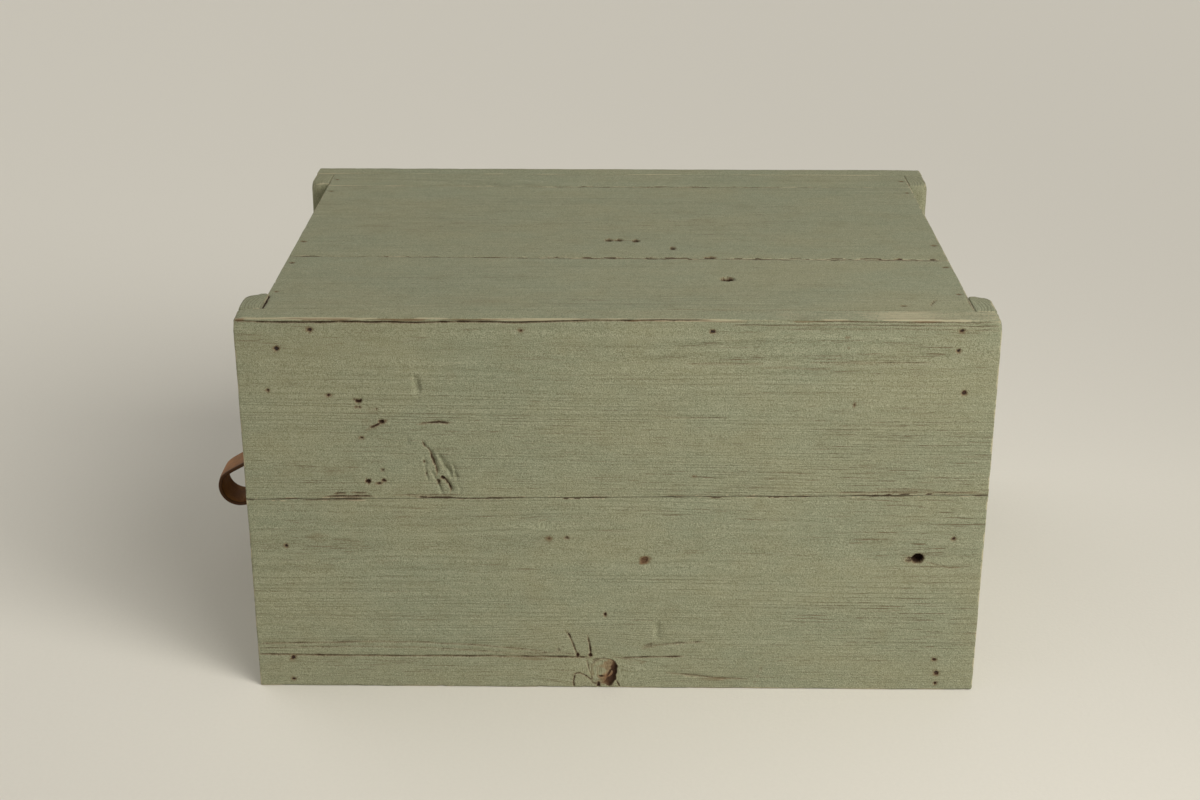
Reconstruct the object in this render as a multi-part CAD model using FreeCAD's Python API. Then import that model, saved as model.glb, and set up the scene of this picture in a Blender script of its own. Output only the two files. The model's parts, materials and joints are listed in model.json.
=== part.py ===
import FreeCAD, Part
import math
import os

# A low wooden drawer box nailed together from old painted planks. The case lies on its underside, the drawer
# comes out towards -Y, and the long plank sides face +X and -X. The origin is the centre of the underside.
# All sizes are in millimetres.

# Case, over all
case_length = 400.0           # along Y, over the side planks
case_width = 300.0            # along X, over the side planks
case_height = 220.0
board = 14.0                  # thickness of every case plank
side_joint_front = 115.5      # where the upper side plank meets the lower one, at the front end
side_joint_back = 120.5       # and at the back end
back_joint_height = 112.0     # where the upper back plank meets the lower one
right_top_plank_front = 92.0  # width of the top plank on the +X side, at its front end
right_top_plank_back = 88.5   # and at its back end
left_top_plank = 30.0         # width of the narrow top plank on the -X side
front_bottom_plank = 126.0    # width of the first bottom plank, and of the last
edge_round = 1.5              # worn arris of the outer edges

# Corner strips and front frame
strip_width = 25.0            # corner strip and stile, along X
strip_thickness = 12.0        # corner strip, along Y
rail_height = 20.0            # top rail of the front, kickers and top cleat
guide_height = 20.0           # guides beside the drawer
cleat_width = 40.0            # top cleat, along Y
stop_width = 30.0             # blocks that stop the drawer when it is shut
stop_height = 40.0
stop_drop = 12.0              # middle of each block below the joint of the back planks
stop_inset = 33.0             # middle of each block from the inside of the drawer's side

# Drawer
drawer_gap = 1.0              # round the drawer front, and beside the drawer sides
floor_gap = 0.4               # under the drawer sides
shut_gap = 0.3                # between the shut drawer and its stop blocks
back_space = 6.0              # behind the drawer back
drawer_held = 106.0           # length of the drawer that stays in the case when it is open
travel_gap = 0.5              # left between drawer back and top cleat when it is open
drawer_side = 12.0            # thickness of drawer sides and back
back_rise = 11.0              # drawer back above the drawer sides
kicker_gap = 1.5              # between drawer back and kickers
panel = 5.0                   # thickness of the drawer bottom
panel_height = 8.0            # drawer bottom above the lower edge of the drawer sides
groove_depth = 5.0
groove_gap = 0.3              # end and edge clearance of the drawer bottom in its grooves
groove_play = 0.1             # above the drawer bottom in its grooves

# Nails: lost heads, set a little below the wood
nail_radius = 1.0
nail_head_radius = 1.4
nail_head_height = 1.5
nail_set = 0.8                # depth of the head's top below the surface
nail_gap = 0.05
nail_overcut = 0.4            # how far a hole's tool stands out of the wood
tip_cover = 2.0               # wood left beyond the tips of the case nails
drawer_nail = 38.0            # corners of the drawer
panel_nail = 24.0             # drawer bottom to drawer back
top_nail_inset = 4.0          # top nails from the ends of the top planks
# Side nails, driven by eye: inset from the outer face of front or back, the level measured from, and the height
# above that level
front_side_nails = (
    (7.0, "underside", 4.5),
    (7.5, "underside", 18.0),
    (8.0, "joint", -28.0),
    (4.0, "top", -41.0),
    (10.0, "top", -17.5),
)
back_side_nails = (
    (9.0, "underside", 4.5),
    (9.0, "underside", 11.0),
    (10.5, "underside", 19.5),
    (5.0, "joint", -26.0),
    (5.5, "top", -40.5),
    (10.0, "top", -17.0),
    (9.0, "top", -6.0),
)
top_row_inset = 40.0          # first nail along the top of a side, from the front end
top_row_step = 100.0          # between the other two, either side of the middle
plank_nail_outer = 28.0       # top nails from the outer edge of a wide plank
plank_nail_inner = 13.0       # and from its inner edge
strip_nail_inset = 50.0       # first and last nail of a corner strip from its ends
strip_nail_middle = 8.0       # the middle nail sits this much below half height
runner_nail_step = 120.0      # along guides and kickers
bottom_nail_inset = 25.0      # from the edges of a bottom plank
runner_nail_shift = 5.0       # kicker and bottom nails nearer the drawer than the strip's middle
cleat_nail_inset = 19.5       # outer nails from the ends of the top cleat
cleat_nail_step = 40.0        # between its two middle nails
drawer_nail_inset = 25.0      # first and last nail of a drawer corner from the side's edges
drawer_back_nail_shift = 6.0  # the nails at the back of the drawer sit this much higher
panel_nail_step = 60.0

# Leather pull
strap_width = 24.0
strap_thickness = 3.0
root_height = 25.0            # clamped double end of the strap
root_round = 6.0              # its two upper corners
pull_drop = 3.0               # bend of the strap below the middle of the drawer front
pull_gap = 0.3                # between the loop and the drawer front
root_gap = 0.8                # between the loop and the clamped end, which it bends against when lifted
pull_length = 57.5            # from the bend to the middle of the loop's nose
pull_nose_radius = 13.0       # outside of the loop's nose
pull_slope = 41.0             # degrees below level at rest
eye_start = 20.0              # inner end of the loop's eye, from the bend
eye_start_radius = 0.8
screw_radius = 2.0            # M4
screw_hole_gap = 0.2
screw_head_radius = 4.2
screw_head_height = 2.6
screw_dome = 1.0              # rounding of the screw's head
slot_width = 1.0
slot_depth = 1.1
screw_overlength = 1.0        # beyond the nut
washer_radius = 8.5
washer_thickness = 1.2
washer_gap = 0.1              # round the screw
inner_washer_radius = 6.0
nut_across_flats = 7.0
nut_height = 3.2
nut_gap = 0.05                # thread clearance, drawn plain

# Places worked out from the sizes
half_length = case_length / 2
half_width = case_width / 2
side_inner = half_width - board                   # inner face of a side plank
strip_inner = side_inner - strip_width            # inner face of strips, stiles and guides
front_face = half_length - strip_thickness        # outer face of front and back, from the middle
front_inner = front_face - board
ceiling = case_height - board                     # underside of the top planks
rail_bottom = ceiling - rail_height
top_nail_line = front_face - top_nail_inset

drawer_outer = strip_inner - drawer_gap           # outer face of a drawer side
drawer_inner = drawer_outer - drawer_side
drawer_front_inner = -front_inner
drawer_end = front_inner - back_space             # rear face of the drawer back
drawer_back_front = drawer_end - drawer_side
drawer_floor = board + floor_gap                  # lower edge of a drawer side
drawer_top = rail_bottom - drawer_gap
drawer_travel = drawer_end + front_face - drawer_held
kicker_inner = drawer_inner + kicker_gap
panel_bottom = drawer_floor + panel_height
panel_top = panel_bottom + panel
cleat_back = drawer_back_front - drawer_travel - travel_gap
cleat_front = cleat_back - cleat_width

bend_y = -front_face - strap_thickness - pull_gap
bend_z = (board + drawer_gap + drawer_top) / 2 - pull_drop
neck_radius = strap_thickness
root_bottom = bend_z + neck_radius + root_gap
screw_z = root_bottom + root_height / 2

# Nail lengths: each goes through one timber and into the next, and stops short of its far side
side_nail = board + strip_width - tip_cover
top_nail = board + rail_height - tip_cover
bottom_nail = board + guide_height - tip_cover
strip_nail = strip_thickness + board - tip_cover

SIDES = (("right", 1), ("left", -1))
ENDS = (("front", -1), ("back", 1))
X_AXIS = FreeCAD.Vector(1, 0, 0)
Y_AXIS = FreeCAD.Vector(0, 1, 0)
Z_AXIS = FreeCAD.Vector(0, 0, 1)


def span(a, b):
    """Two limits in rising order."""
    return (a, b) if a < b else (b, a)


def block(x_limits, y_limits, z_limits):
    """A squared piece of timber between three pairs of limits, given in any order."""
    x0, x1 = span(*x_limits)
    y0, y1 = span(*y_limits)
    z0, z1 = span(*z_limits)
    return Part.makeBox(x1 - x0, y1 - y0, z1 - z0, FreeCAD.Vector(x0, y0, z0))


def round_edges(shape, radius, tests):
    """Round each straight edge whose ends all pass one of the tests."""
    chosen = [e for e in shape.Edges if any(all(test(v.Point) for v in e.Vertexes) for test in tests)]
    return shape.makeFillet(radius, chosen)


def near(value, target):
    return abs(value - target) < 1e-6


# Nails. A nail is a place on the surface, the direction it is driven in and its length.
def driven(place, direction, radius, start, length):
    """A round bar on a nail's line, from a depth below the surface."""
    return Part.makeCylinder(radius, length, place + direction * start, direction)


def make_nail(place, direction, length):
    head = driven(place, direction, nail_head_radius, nail_set, nail_head_height)
    shank_start = nail_set + nail_head_height
    shank = driven(place, direction, nail_radius, shank_start, length - shank_start)
    return head.fuse(shank).removeSplitter()


def make_nail_hole(place, direction, length):
    head_depth = nail_set + nail_head_height + nail_gap
    mouth = driven(place, direction, nail_head_radius + nail_gap, -nail_overcut, nail_overcut + head_depth)
    shank = driven(place, direction, nail_radius + nail_gap, 0, length + nail_gap)
    return mouth.fuse(shank).removeSplitter()


def drill(shape, nails):
    """Cut the holes of the nails that pass through a timber, and give it back as one solid."""
    for place, direction, length in nails:
        hole = make_nail_hole(place, direction, length)
        if shape.BoundBox.intersect(hole.BoundBox):
            shape = shape.cut(hole)
    return shape.Solids[0]


def side_joint_at(y):
    """Height of the joint between the side planks, which rises evenly from the front to the back."""
    return side_joint_front + (side_joint_back - side_joint_front) * (y + half_length) / case_length


def side_nails(sign):
    """Nails driven through a side into the ends of the front, back and bottom and the edges of the top."""
    places = []
    for end, nails in ((-1, front_side_nails), (1, back_side_nails)):
        for inset, level, rise in nails:
            y = end * (front_face - inset)
            levels = {"underside": 0.0, "joint": side_joint_at(y), "top": case_height}
            places.append((y, levels[level] + rise))
    top_row = (-half_length + top_row_inset, -top_row_step / 2, top_row_step / 2)
    places += [(y, case_height - board / 2) for y in top_row]
    inward = X_AXIS * -sign
    return [(FreeCAD.Vector(sign * half_width, y, z), inward, side_nail) for y, z in places]


def top_plank_limits():
    """Name of each top plank from the +X side, with its X limits at the front end and at the back end."""
    outer = (side_inner, side_inner)
    right_joint = (side_inner - right_top_plank_front, side_inner - right_top_plank_back)
    left_joint = (-side_inner + left_top_plank, -side_inner + left_top_plank)
    return (
        ("right_top_plank", right_joint, outer),
        ("middle_top_plank", left_joint, right_joint),
        ("left_top_plank", (-side_inner, -side_inner), left_joint),
    )


def top_nails():
    """Two nails at each end of a wide top plank and one in the middle of a narrow one."""
    nails = []
    for _, left, right in top_plank_limits():
        for (_, end), x0, x1 in zip(ENDS, left, right):
            wide = x1 - x0 > plank_nail_inner + plank_nail_outer
            places = (x0 + plank_nail_inner, x1 - plank_nail_outer) if wide else ((x0 + x1) / 2,)
            for x in places:
                start = FreeCAD.Vector(x, end * top_nail_line, case_height)
                nails.append((start, -Z_AXIS, top_nail))
    return nails


def strip_nails():
    """Three nails through each corner strip into the stile or the back."""
    middle = case_height / 2 - strip_nail_middle
    heights = (strip_nail_inset, middle, case_height - strip_nail_inset)
    x = (strip_inner + side_inner) / 2
    nails = []
    for _, end in ENDS:
        for _, sign in SIDES:
            for z in heights:
                nails.append((FreeCAD.Vector(sign * x, end * half_length, z), Y_AXIS * -end, strip_nail))
    return nails


def bottom_plank_limits():
    """Name and Y limits of each bottom plank, from the front."""
    joint = front_face - front_bottom_plank
    return (
        ("front_bottom_plank", -front_face, -joint),
        ("middle_bottom_plank", -joint, joint),
        ("back_bottom_plank", joint, front_face),
    )


def bottom_nails():
    """Nails driven up through the bottom planks into the guides."""
    x = (strip_inner + side_inner) / 2 - runner_nail_shift
    nails = []
    for _, y0, y1 in bottom_plank_limits():
        for y in (y0 + bottom_nail_inset, y1 - bottom_nail_inset):
            for _, sign in SIDES:
                nails.append((FreeCAD.Vector(sign * x, y, 0), Z_AXIS, bottom_nail))
    return nails


def runner_nails():
    """Nails through the guides into the sides, and up through the kickers into the top."""
    guide_z = board + guide_height / 2
    kicker_x = (strip_inner + side_inner) / 2 - runner_nail_shift
    nails = []
    for _, sign in SIDES:
        for step in (-1, 0, 1):
            y = step * runner_nail_step
            nails.append((FreeCAD.Vector(sign * strip_inner, y, guide_z), X_AXIS * sign, side_nail))
            nails.append((FreeCAD.Vector(sign * kicker_x, y, rail_bottom), Z_AXIS, top_nail))
    return nails


def cleat_nails():
    """A row of nails up through the top cleat into the top planks."""
    y = (cleat_front + cleat_back) / 2
    outer = kicker_inner - cleat_nail_inset
    inner = cleat_nail_step / 2
    return [(FreeCAD.Vector(x, y, rail_bottom), Z_AXIS, top_nail) for x in (-outer, -inner, inner, outer)]


def drawer_nails():
    """Nails through the drawer front into its sides, through the sides into the back, and up into the back."""
    heights = (
        drawer_floor + drawer_nail_inset,
        (drawer_floor + drawer_top) / 2,
        drawer_top - drawer_nail_inset,
    )
    side_middle = (drawer_inner + drawer_outer) / 2
    back_middle = (drawer_back_front + drawer_end) / 2
    nails = []
    for _, sign in SIDES:
        for z in heights:
            front = FreeCAD.Vector(sign * side_middle, -front_face, z)
            rear = FreeCAD.Vector(sign * drawer_outer, back_middle, z + drawer_back_nail_shift)
            nails.append((front, Y_AXIS, drawer_nail))
            nails.append((rear, X_AXIS * -sign, drawer_nail))
    for step in (-1, 0, 1):
        nails.append((FreeCAD.Vector(step * panel_nail_step, back_middle, panel_bottom), Z_AXIS, panel_nail))
    return nails


# Case timbers
def make_tapered(corners, direction):
    """A plank from the four corners of one face and the vector through its thickness."""
    return Part.Face(Part.makePolygon(corners + corners[:1])).extrude(direction)


def make_side_plank(sign, bottom, top):
    """A side plank from its lower and upper edge heights, each given at the front end and at the back end."""
    inner = sign * side_inner
    corners = [
        FreeCAD.Vector(inner, -half_length, bottom[0]),
        FreeCAD.Vector(inner, half_length, bottom[1]),
        FreeCAD.Vector(inner, half_length, top[1]),
        FreeCAD.Vector(inner, -half_length, top[0]),
    ]
    plank = make_tapered(corners, X_AXIS * (sign * board))

    def outer(point):
        return near(point.x, sign * half_width)

    tests = [
        lambda point: outer(point) and near(point.y, -half_length),
        lambda point: outer(point) and near(point.y, half_length),
        lambda point: outer(point) and near(point.z, case_height),
    ]
    return round_edges(plank, edge_round, tests)


def make_top_plank(left, right):
    """A top plank from the X of its two long edges, each given at the front end and at the back end."""
    corners = [
        FreeCAD.Vector(left[0], -front_face, ceiling),
        FreeCAD.Vector(right[0], -front_face, ceiling),
        FreeCAD.Vector(right[1], front_face, ceiling),
        FreeCAD.Vector(left[1], front_face, ceiling),
    ]
    return make_tapered(corners, Z_AXIS * board)


def make_strip(sign, end):
    strip = block(
        (sign * strip_inner, sign * side_inner), (end * front_face, end * half_length), (0, case_height)
    )

    def inner_corner(point):
        return near(abs(point.x), strip_inner) and near(abs(point.y), half_length)

    return round_edges(strip, edge_round, [inner_corner])


def make_case_timbers():
    """Every timber of the case by name, before its nail holes are drilled."""
    timbers = {}
    for side, sign in SIDES:
        joint = (side_joint_front, side_joint_back)
        timbers[side + "_side_lower_plank"] = make_side_plank(sign, (0, 0), joint)
        timbers[side + "_side_upper_plank"] = make_side_plank(sign, joint, (case_height, case_height))
        beside = (sign * strip_inner, sign * side_inner)
        timbers["front_stile_" + side] = block(beside, (-front_face, -front_inner), (board, rail_bottom))
        timbers["drawer_guide_" + side] = block(
            beside, (-front_inner, front_inner), (board, board + guide_height)
        )
        timbers["kicker_" + side] = block(
            (sign * kicker_inner, sign * side_inner), (-front_inner, front_inner), (rail_bottom, ceiling)
        )
        middle = sign * (drawer_inner - stop_inset)
        stop_middle = back_joint_height - stop_drop
        timbers["drawer_stop_" + side] = block(
            (middle - stop_width / 2, middle + stop_width / 2),
            (drawer_end + shut_gap, front_inner),
            (stop_middle - stop_height / 2, stop_middle + stop_height / 2),
        )
        for place, end in ENDS:
            timbers[place + "_corner_strip_" + side] = make_strip(sign, end)
    for name, left, right in top_plank_limits():
        timbers[name] = make_top_plank(left, right)
    for name, y0, y1 in bottom_plank_limits():
        timbers[name] = block((-side_inner, side_inner), (y0, y1), (0, board))
    across = (-side_inner, side_inner)
    behind = (front_inner, front_face)
    timbers["back_lower_plank"] = block(across, behind, (board, back_joint_height))
    timbers["back_upper_plank"] = block(across, behind, (back_joint_height, ceiling))
    timbers["front_top_rail"] = block(across, (-front_face, -front_inner), (rail_bottom, ceiling))
    timbers["top_cleat"] = block(
        (-kicker_inner, kicker_inner), (cleat_front, cleat_back), (rail_bottom, ceiling)
    )
    return timbers


# Drawer timbers
def make_drawer_panel_space():
    """The room that the grooves leave for the drawer bottom."""
    return block(
        (-drawer_inner - groove_depth, drawer_inner + groove_depth),
        (drawer_front_inner - groove_depth, drawer_end),
        (panel_bottom, panel_top + groove_play),
    )


def make_drawer_front():
    front = block(
        (-drawer_outer, drawer_outer), (-front_face, -front_inner), (board + drawer_gap, drawer_top)
    )
    front = round_edges(front, edge_round, [lambda point: near(point.y, -front_face)])
    screw_hole = Part.makeCylinder(
        screw_radius + screw_hole_gap, board, FreeCAD.Vector(0, -front_face, screw_z), Y_AXIS
    )
    return front.cut(screw_hole).cut(make_drawer_panel_space())


def make_drawer_timbers():
    """Every timber of the drawer by name, before its nail holes are drilled."""
    timbers = {"drawer_front": make_drawer_front()}
    for side, sign in SIDES:
        board_blank = block(
            (sign * drawer_inner, sign * drawer_outer),
            (drawer_front_inner, drawer_end),
            (drawer_floor, drawer_top),
        )
        timbers["drawer_side_" + side] = board_blank.cut(make_drawer_panel_space())
    timbers["drawer_back"] = block(
        (-drawer_inner, drawer_inner),
        (drawer_back_front, drawer_end),
        (panel_top + groove_play, drawer_top + back_rise),
    )
    reach = drawer_inner + groove_depth - groove_gap
    timbers["drawer_bottom"] = block(
        (-reach, reach),
        (drawer_front_inner - groove_depth + groove_gap, drawer_end),
        (panel_bottom, panel_top),
    )
    return timbers


# Leather pull and its fixing
def slope_vectors():
    """Unit vectors along the pull, away from the drawer, and square to it on the upper side."""
    slope = math.radians(pull_slope)
    along = FreeCAD.Vector(0, -math.cos(slope), -math.sin(slope))
    across = FreeCAD.Vector(0, -math.sin(slope), math.cos(slope))
    return along, across


def drop_outline(start, start_radius, end, end_radius, x):
    """Face of a drop: two circles on the pull's line, joined by the lines that touch both."""
    along, across = slope_vectors()
    bend = FreeCAD.Vector(x, bend_y, bend_z)
    lean = (end_radius - start_radius) / (end - start)
    rise = math.sqrt(1 - lean * lean)

    def touch(position, radius, side):
        return bend + along * (position - radius * lean) + across * (side * radius * rise)

    start_tip = bend + along * (start - start_radius)
    end_tip = bend + along * (end + end_radius)
    upper_start = touch(start, start_radius, 1)
    upper_end = touch(end, end_radius, 1)
    lower_start = touch(start, start_radius, -1)
    lower_end = touch(end, end_radius, -1)
    edges = [
        Part.Arc(lower_start, start_tip, upper_start).toShape(),
        Part.LineSegment(upper_start, upper_end).toShape(),
        Part.Arc(upper_end, end_tip, lower_end).toShape(),
        Part.LineSegment(lower_end, lower_start).toShape(),
    ]
    return Part.Face(Part.Wire(edges))


def make_pull_loop():
    """The folded strap beyond its bend: a drop-shaped band with an open eye."""
    left = -strap_width / 2
    outer = drop_outline(0, neck_radius, pull_length, pull_nose_radius, left)
    eye_radius = pull_nose_radius - strap_thickness
    eye = drop_outline(eye_start, eye_start_radius, pull_length, eye_radius, left)
    band = X_AXIS * strap_width
    return outer.extrude(band).cut(eye.extrude(band)).Solids[0]


def make_pull_root():
    """The two ends of the strap, one on the other, under the washer."""
    root = block(
        (-strap_width / 2, strap_width / 2),
        (-front_face - 2 * strap_thickness, -front_face),
        (root_bottom, root_bottom + root_height),
    )
    upper = root_bottom + root_height
    corners = [
        e for e in root.Edges
        if all(near(v.Point.z, upper) for v in e.Vertexes) and near(e.Vertexes[0].X, e.Vertexes[1].X)
    ]
    root = root.makeFillet(root_round, corners)
    hole = Part.makeCylinder(
        screw_radius + screw_hole_gap,
        2 * strap_thickness,
        FreeCAD.Vector(0, -front_face - 2 * strap_thickness, screw_z),
        Y_AXIS,
    )
    return root.cut(hole).Solids[0]


def make_ring(radius, y, thickness):
    """A flat washer round the screw, with its outer face at y."""
    centre = FreeCAD.Vector(0, y, screw_z)
    ring = Part.makeCylinder(radius, thickness, centre, Y_AXIS)
    return ring.cut(Part.makeCylinder(screw_radius + washer_gap, thickness, centre, Y_AXIS)).Solids[0]


def make_screw():
    """A slotted round-head screw, from its head outside to its end inside the drawer."""
    seat = -front_face - 2 * strap_thickness - washer_thickness
    head = Part.makeCylinder(
        screw_head_radius, screw_head_height, FreeCAD.Vector(0, seat - screw_head_height, screw_z), Y_AXIS
    )
    rim = [e for e in head.Edges if near(e.BoundBox.YMax, seat - screw_head_height) and len(e.Vertexes) == 1]
    head = head.makeFillet(screw_dome, rim)
    end = -front_inner + washer_thickness + nut_height + screw_overlength
    shank = Part.makeCylinder(screw_radius, end - seat, FreeCAD.Vector(0, seat, screw_z), Y_AXIS)
    slot = block(
        (-slot_width / 2, slot_width / 2),
        (seat - screw_head_height, seat - screw_head_height + slot_depth),
        (screw_z - screw_head_radius, screw_z + screw_head_radius),
    )
    return head.fuse(shank).removeSplitter().cut(slot).Solids[0]


def make_nut():
    corner = nut_across_flats / math.sqrt(3)
    y = -front_inner + washer_thickness
    corners = [
        FreeCAD.Vector(corner * math.cos(k * math.pi / 3), y, screw_z + corner * math.sin(k * math.pi / 3))
        for k in range(6)
    ]
    prism = Part.Face(Part.makePolygon(corners + corners[:1])).extrude(Y_AXIS * nut_height)
    bore = Part.makeCylinder(screw_radius + nut_gap, nut_height, FreeCAD.Vector(0, y, screw_z), Y_AXIS)
    return prism.cut(bore).Solids[0]


def save(name, shape):
    shape.exportStep(os.path.join("parts", name + ".step"))


def main():
    os.makedirs("parts", exist_ok=True)

    case_groups = {
        "right_side_nails": side_nails(1),
        "left_side_nails": side_nails(-1),
        "top_nails": top_nails(),
        "strip_nails": strip_nails(),
        "bottom_nails": bottom_nails(),
        "runner_nails": runner_nails(),
        "cleat_nails": cleat_nails(),
    }
    drawer_groups = {"drawer_nails": drawer_nails()}
    assemblies = ((make_case_timbers(), case_groups), (make_drawer_timbers(), drawer_groups))
    for timbers, groups in assemblies:
        all_nails = [nail for group in groups.values() for nail in group]
        for name, timber in timbers.items():
            save(name, drill(timber, all_nails))
        for name, group in groups.items():
            save(name, Part.makeCompound([make_nail(*nail) for nail in group]))

    save("pull_root", make_pull_root())
    save("pull_loop", make_pull_loop())
    save("pull_screw", make_screw())
    outer_washer_y = -front_face - 2 * strap_thickness - washer_thickness
    save("pull_washer", make_ring(washer_radius, outer_washer_y, washer_thickness))
    save("inner_washer", make_ring(inner_washer_radius, -front_inner, washer_thickness))
    save("pull_nut", make_nut())
    print("bend", bend_y, bend_z, "screw", screw_z, "travel", drawer_travel)


main()
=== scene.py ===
"""A nailed plank drawer box in worn paint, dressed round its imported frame.

Every timber is one closed surface worked out with numpy, with the marks of age in its shape and in its attributes.
"""

import itertools
import json
import math

import bpy
import numpy as np
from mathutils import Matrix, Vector


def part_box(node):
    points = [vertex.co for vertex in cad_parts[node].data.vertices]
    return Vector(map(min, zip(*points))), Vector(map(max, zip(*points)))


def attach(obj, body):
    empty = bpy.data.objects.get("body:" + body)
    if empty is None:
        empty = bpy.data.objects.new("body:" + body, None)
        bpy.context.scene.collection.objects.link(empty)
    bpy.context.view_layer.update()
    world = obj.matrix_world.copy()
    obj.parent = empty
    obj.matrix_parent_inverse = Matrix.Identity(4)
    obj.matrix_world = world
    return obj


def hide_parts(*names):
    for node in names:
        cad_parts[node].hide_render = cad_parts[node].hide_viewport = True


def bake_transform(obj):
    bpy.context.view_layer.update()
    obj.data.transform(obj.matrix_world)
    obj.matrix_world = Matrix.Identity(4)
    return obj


bl_info = {
    "name": "Plank Drawer Box",
    "version": (1, 0, 0),
    "blender": (4, 5, 0),
    "location": "3D View > Sidebar > Drawer Box",
    "description": "Dresses a plank drawer box with worn paint, bare wood, iron nails and a leather pull",
    "category": "Object",
}

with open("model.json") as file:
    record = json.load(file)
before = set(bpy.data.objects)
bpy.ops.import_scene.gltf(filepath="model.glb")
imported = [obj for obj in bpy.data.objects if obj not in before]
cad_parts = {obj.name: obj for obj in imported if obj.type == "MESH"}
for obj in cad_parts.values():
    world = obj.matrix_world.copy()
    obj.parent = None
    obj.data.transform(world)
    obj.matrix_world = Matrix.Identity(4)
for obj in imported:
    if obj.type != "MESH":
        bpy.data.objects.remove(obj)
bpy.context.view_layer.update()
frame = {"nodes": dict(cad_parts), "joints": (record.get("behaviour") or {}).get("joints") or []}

MM = 0.001
X, Y, Z = 0, 1, 2
NO_HOLE = 4.0                # distance that stands for no hole or crack near, mm
HEAD_SPREAD = 3.4            # widest distance between two points of one nail head, mm
RING_STEP = 1.62             # from one growth ring to the next, mm
EDGE_STEP = 0.5              # spacing of a mesh's lines at its ends, mm
DEEP_STEP = 1.6              # least spacing of a mesh's lines through a timber's thickness, mm
LEAST_ROUND, MOST_ROUND = 0.3, 4.0   # limits of the radius that an arris wears to, mm
QUIET_REACH = 4.0            # how far a sheltered side keeps its arris sharper, mm
QUIET_SHARE = 0.45           # share of the wear radius left there
QUIET_SHELTER = 1.6          # how much further off its edge counts when paint is rubbed away, mm
UNPAINTED = -0.85            # a side that faces this far away from sight was never painted
LEAST_GROOVE = 0.4           # half width of the finest groove that the meshes can show, mm
KNOT_POWER = 3.4             # of the squarish oval that bounds a knot

# material, body and slot of each kind of timber
PAINTED = ("paint", "case", "painted_wood")
UNDERSIDE = ("bare", "case", "painted_wood")
INNER = ("bare", "case", "bare_wood")
DRAWER_FACE = ("paint", "drawer", "painted_wood")
DRAWER_BOARD = ("bare", "drawer", "bare_wood")


# --- numbers that vary smoothly -------------------------------------------------------------------------------
def rise(value, low, high):
    """Smoothstep: 0 below low, 1 above high, and 3t^2 - 2t^3 between."""
    t = np.clip((value - low) / (high - low), 0.0, 1.0)
    return t * t * (3.0 - 2.0 * t)


def fall(value, low, high):
    """1 below low and 0 above high."""
    return 1.0 - rise(value, low, high)


# odd multipliers that mix the bits of a lattice point
HASH_I, HASH_J, HASH_K, HASH_SEED = 374761393, 668265263, 2147483647, 1274126177
LOW_32_BITS = 0xFFFFFFFF


def hashed(i, j, k, seed):
    """A repeatable number in -1..1 for each whole lattice point, from mixed integer products."""
    mixed = (i * HASH_I + j * HASH_J + k * HASH_K + seed * HASH_SEED) & LOW_32_BITS
    mixed = ((mixed ^ (mixed >> 13)) * HASH_SEED) & LOW_32_BITS
    mixed = mixed ^ (mixed >> 16)
    return mixed / (LOW_32_BITS / 2) - 1.0


def noise(points, scale, seed, octaves):
    """Value noise in -1..1: hashed lattice numbers joined by a quintic step, with scale giving the cell's size in mm
    along each axis. Each further octave halves the cell and the strength."""
    total = np.zeros(len(points))
    strength, reach = 1.0, 0.0
    cell = np.array(scale, float)
    for octave in range(octaves):
        q = points / cell
        whole = np.floor(q).astype(np.int64)
        part = q - whole
        s = part**3 * (part * (part * 6.0 - 15.0) + 10.0)
        value = np.zeros(len(points))
        for corner in np.ndindex(2, 2, 2):
            weight = np.prod(np.where(corner, s, 1 - s), axis=1)
            value += weight * hashed(*(whole + corner).T, seed + 101 * octave)
        total += strength * value
        reach += strength
        strength, cell = strength * 0.5, cell * 0.5
    return total / reach


# --- surfaces -------------------------------------------------------------------------------------------------
def spread_lines(low, high, step, fine):
    """Places from low to high whose spacing is step in general, EDGE_STEP at both ends, growing by a third of the
    distance from them, and at most a band's own step within each fine band (start, end, step)."""
    place = np.linspace(low, high, 4001)
    wanted = np.minimum(step, EDGE_STEP + 0.33 * np.minimum(place - low, high - place))
    for start, end, band_step in fine:
        away = np.maximum(np.maximum(start - place, place - end), 0.0)
        wanted = np.minimum(wanted, band_step + 0.25 * away)
    gaps = np.diff(place) * 0.5 * (1 / wanted[1:] + 1 / wanted[:-1])
    count = np.concatenate(([0.0], np.cumsum(gaps)))
    return np.interp(np.linspace(0.0, count[-1], int(math.ceil(count[-1])) + 1), count, place)


def box_shell(lines, plain):
    """The outside of a lattice of lines along X, Y and Z, as points and faces that share their edges. A side named
    in plain, such as (0, 1) for the high X side, is one flat face instead of a grid."""
    counts = tuple(len(line) for line in lines)
    outside = np.zeros(counts, bool)
    for axis in (X, Y, Z):
        for side in (0, -1):
            outside[(slice(None),) * axis + (side,)] = True
    index = np.full(counts, -1)
    index[outside] = np.arange(outside.sum())
    at = np.nonzero(outside)
    points = np.stack([lines[axis][at[axis]] for axis in (X, Y, Z)], 1)
    quads, rims = [], []
    for axis in (X, Y, Z):
        for side in (0, 1):
            grid = index[(slice(None),) * axis + (-side,)]
            turned = (side == 1) == (axis == Y)
            grid = grid.T if turned else grid
            if (axis, side) in plain:
                rims.append(np.concatenate([grid[:-1, 0], grid[-1, :-1], grid[:0:-1, -1], grid[0, :0:-1]]))
            else:
                corners = (grid[:-1, :-1], grid[1:, :-1], grid[1:, 1:], grid[:-1, 1:])
                quads.append(np.stack(corners, -1).reshape(-1, 4))
    loops = np.concatenate([q.ravel() for q in quads] + rims)
    quad_count = sum(len(q) for q in quads)
    sizes = np.concatenate([np.full(quad_count, 4), [len(rim) for rim in rims]]).astype(int)
    used = np.zeros(len(points), bool)
    used[loops] = True
    renumber = np.cumsum(used) - 1
    return points[used], renumber[loops], sizes


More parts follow.
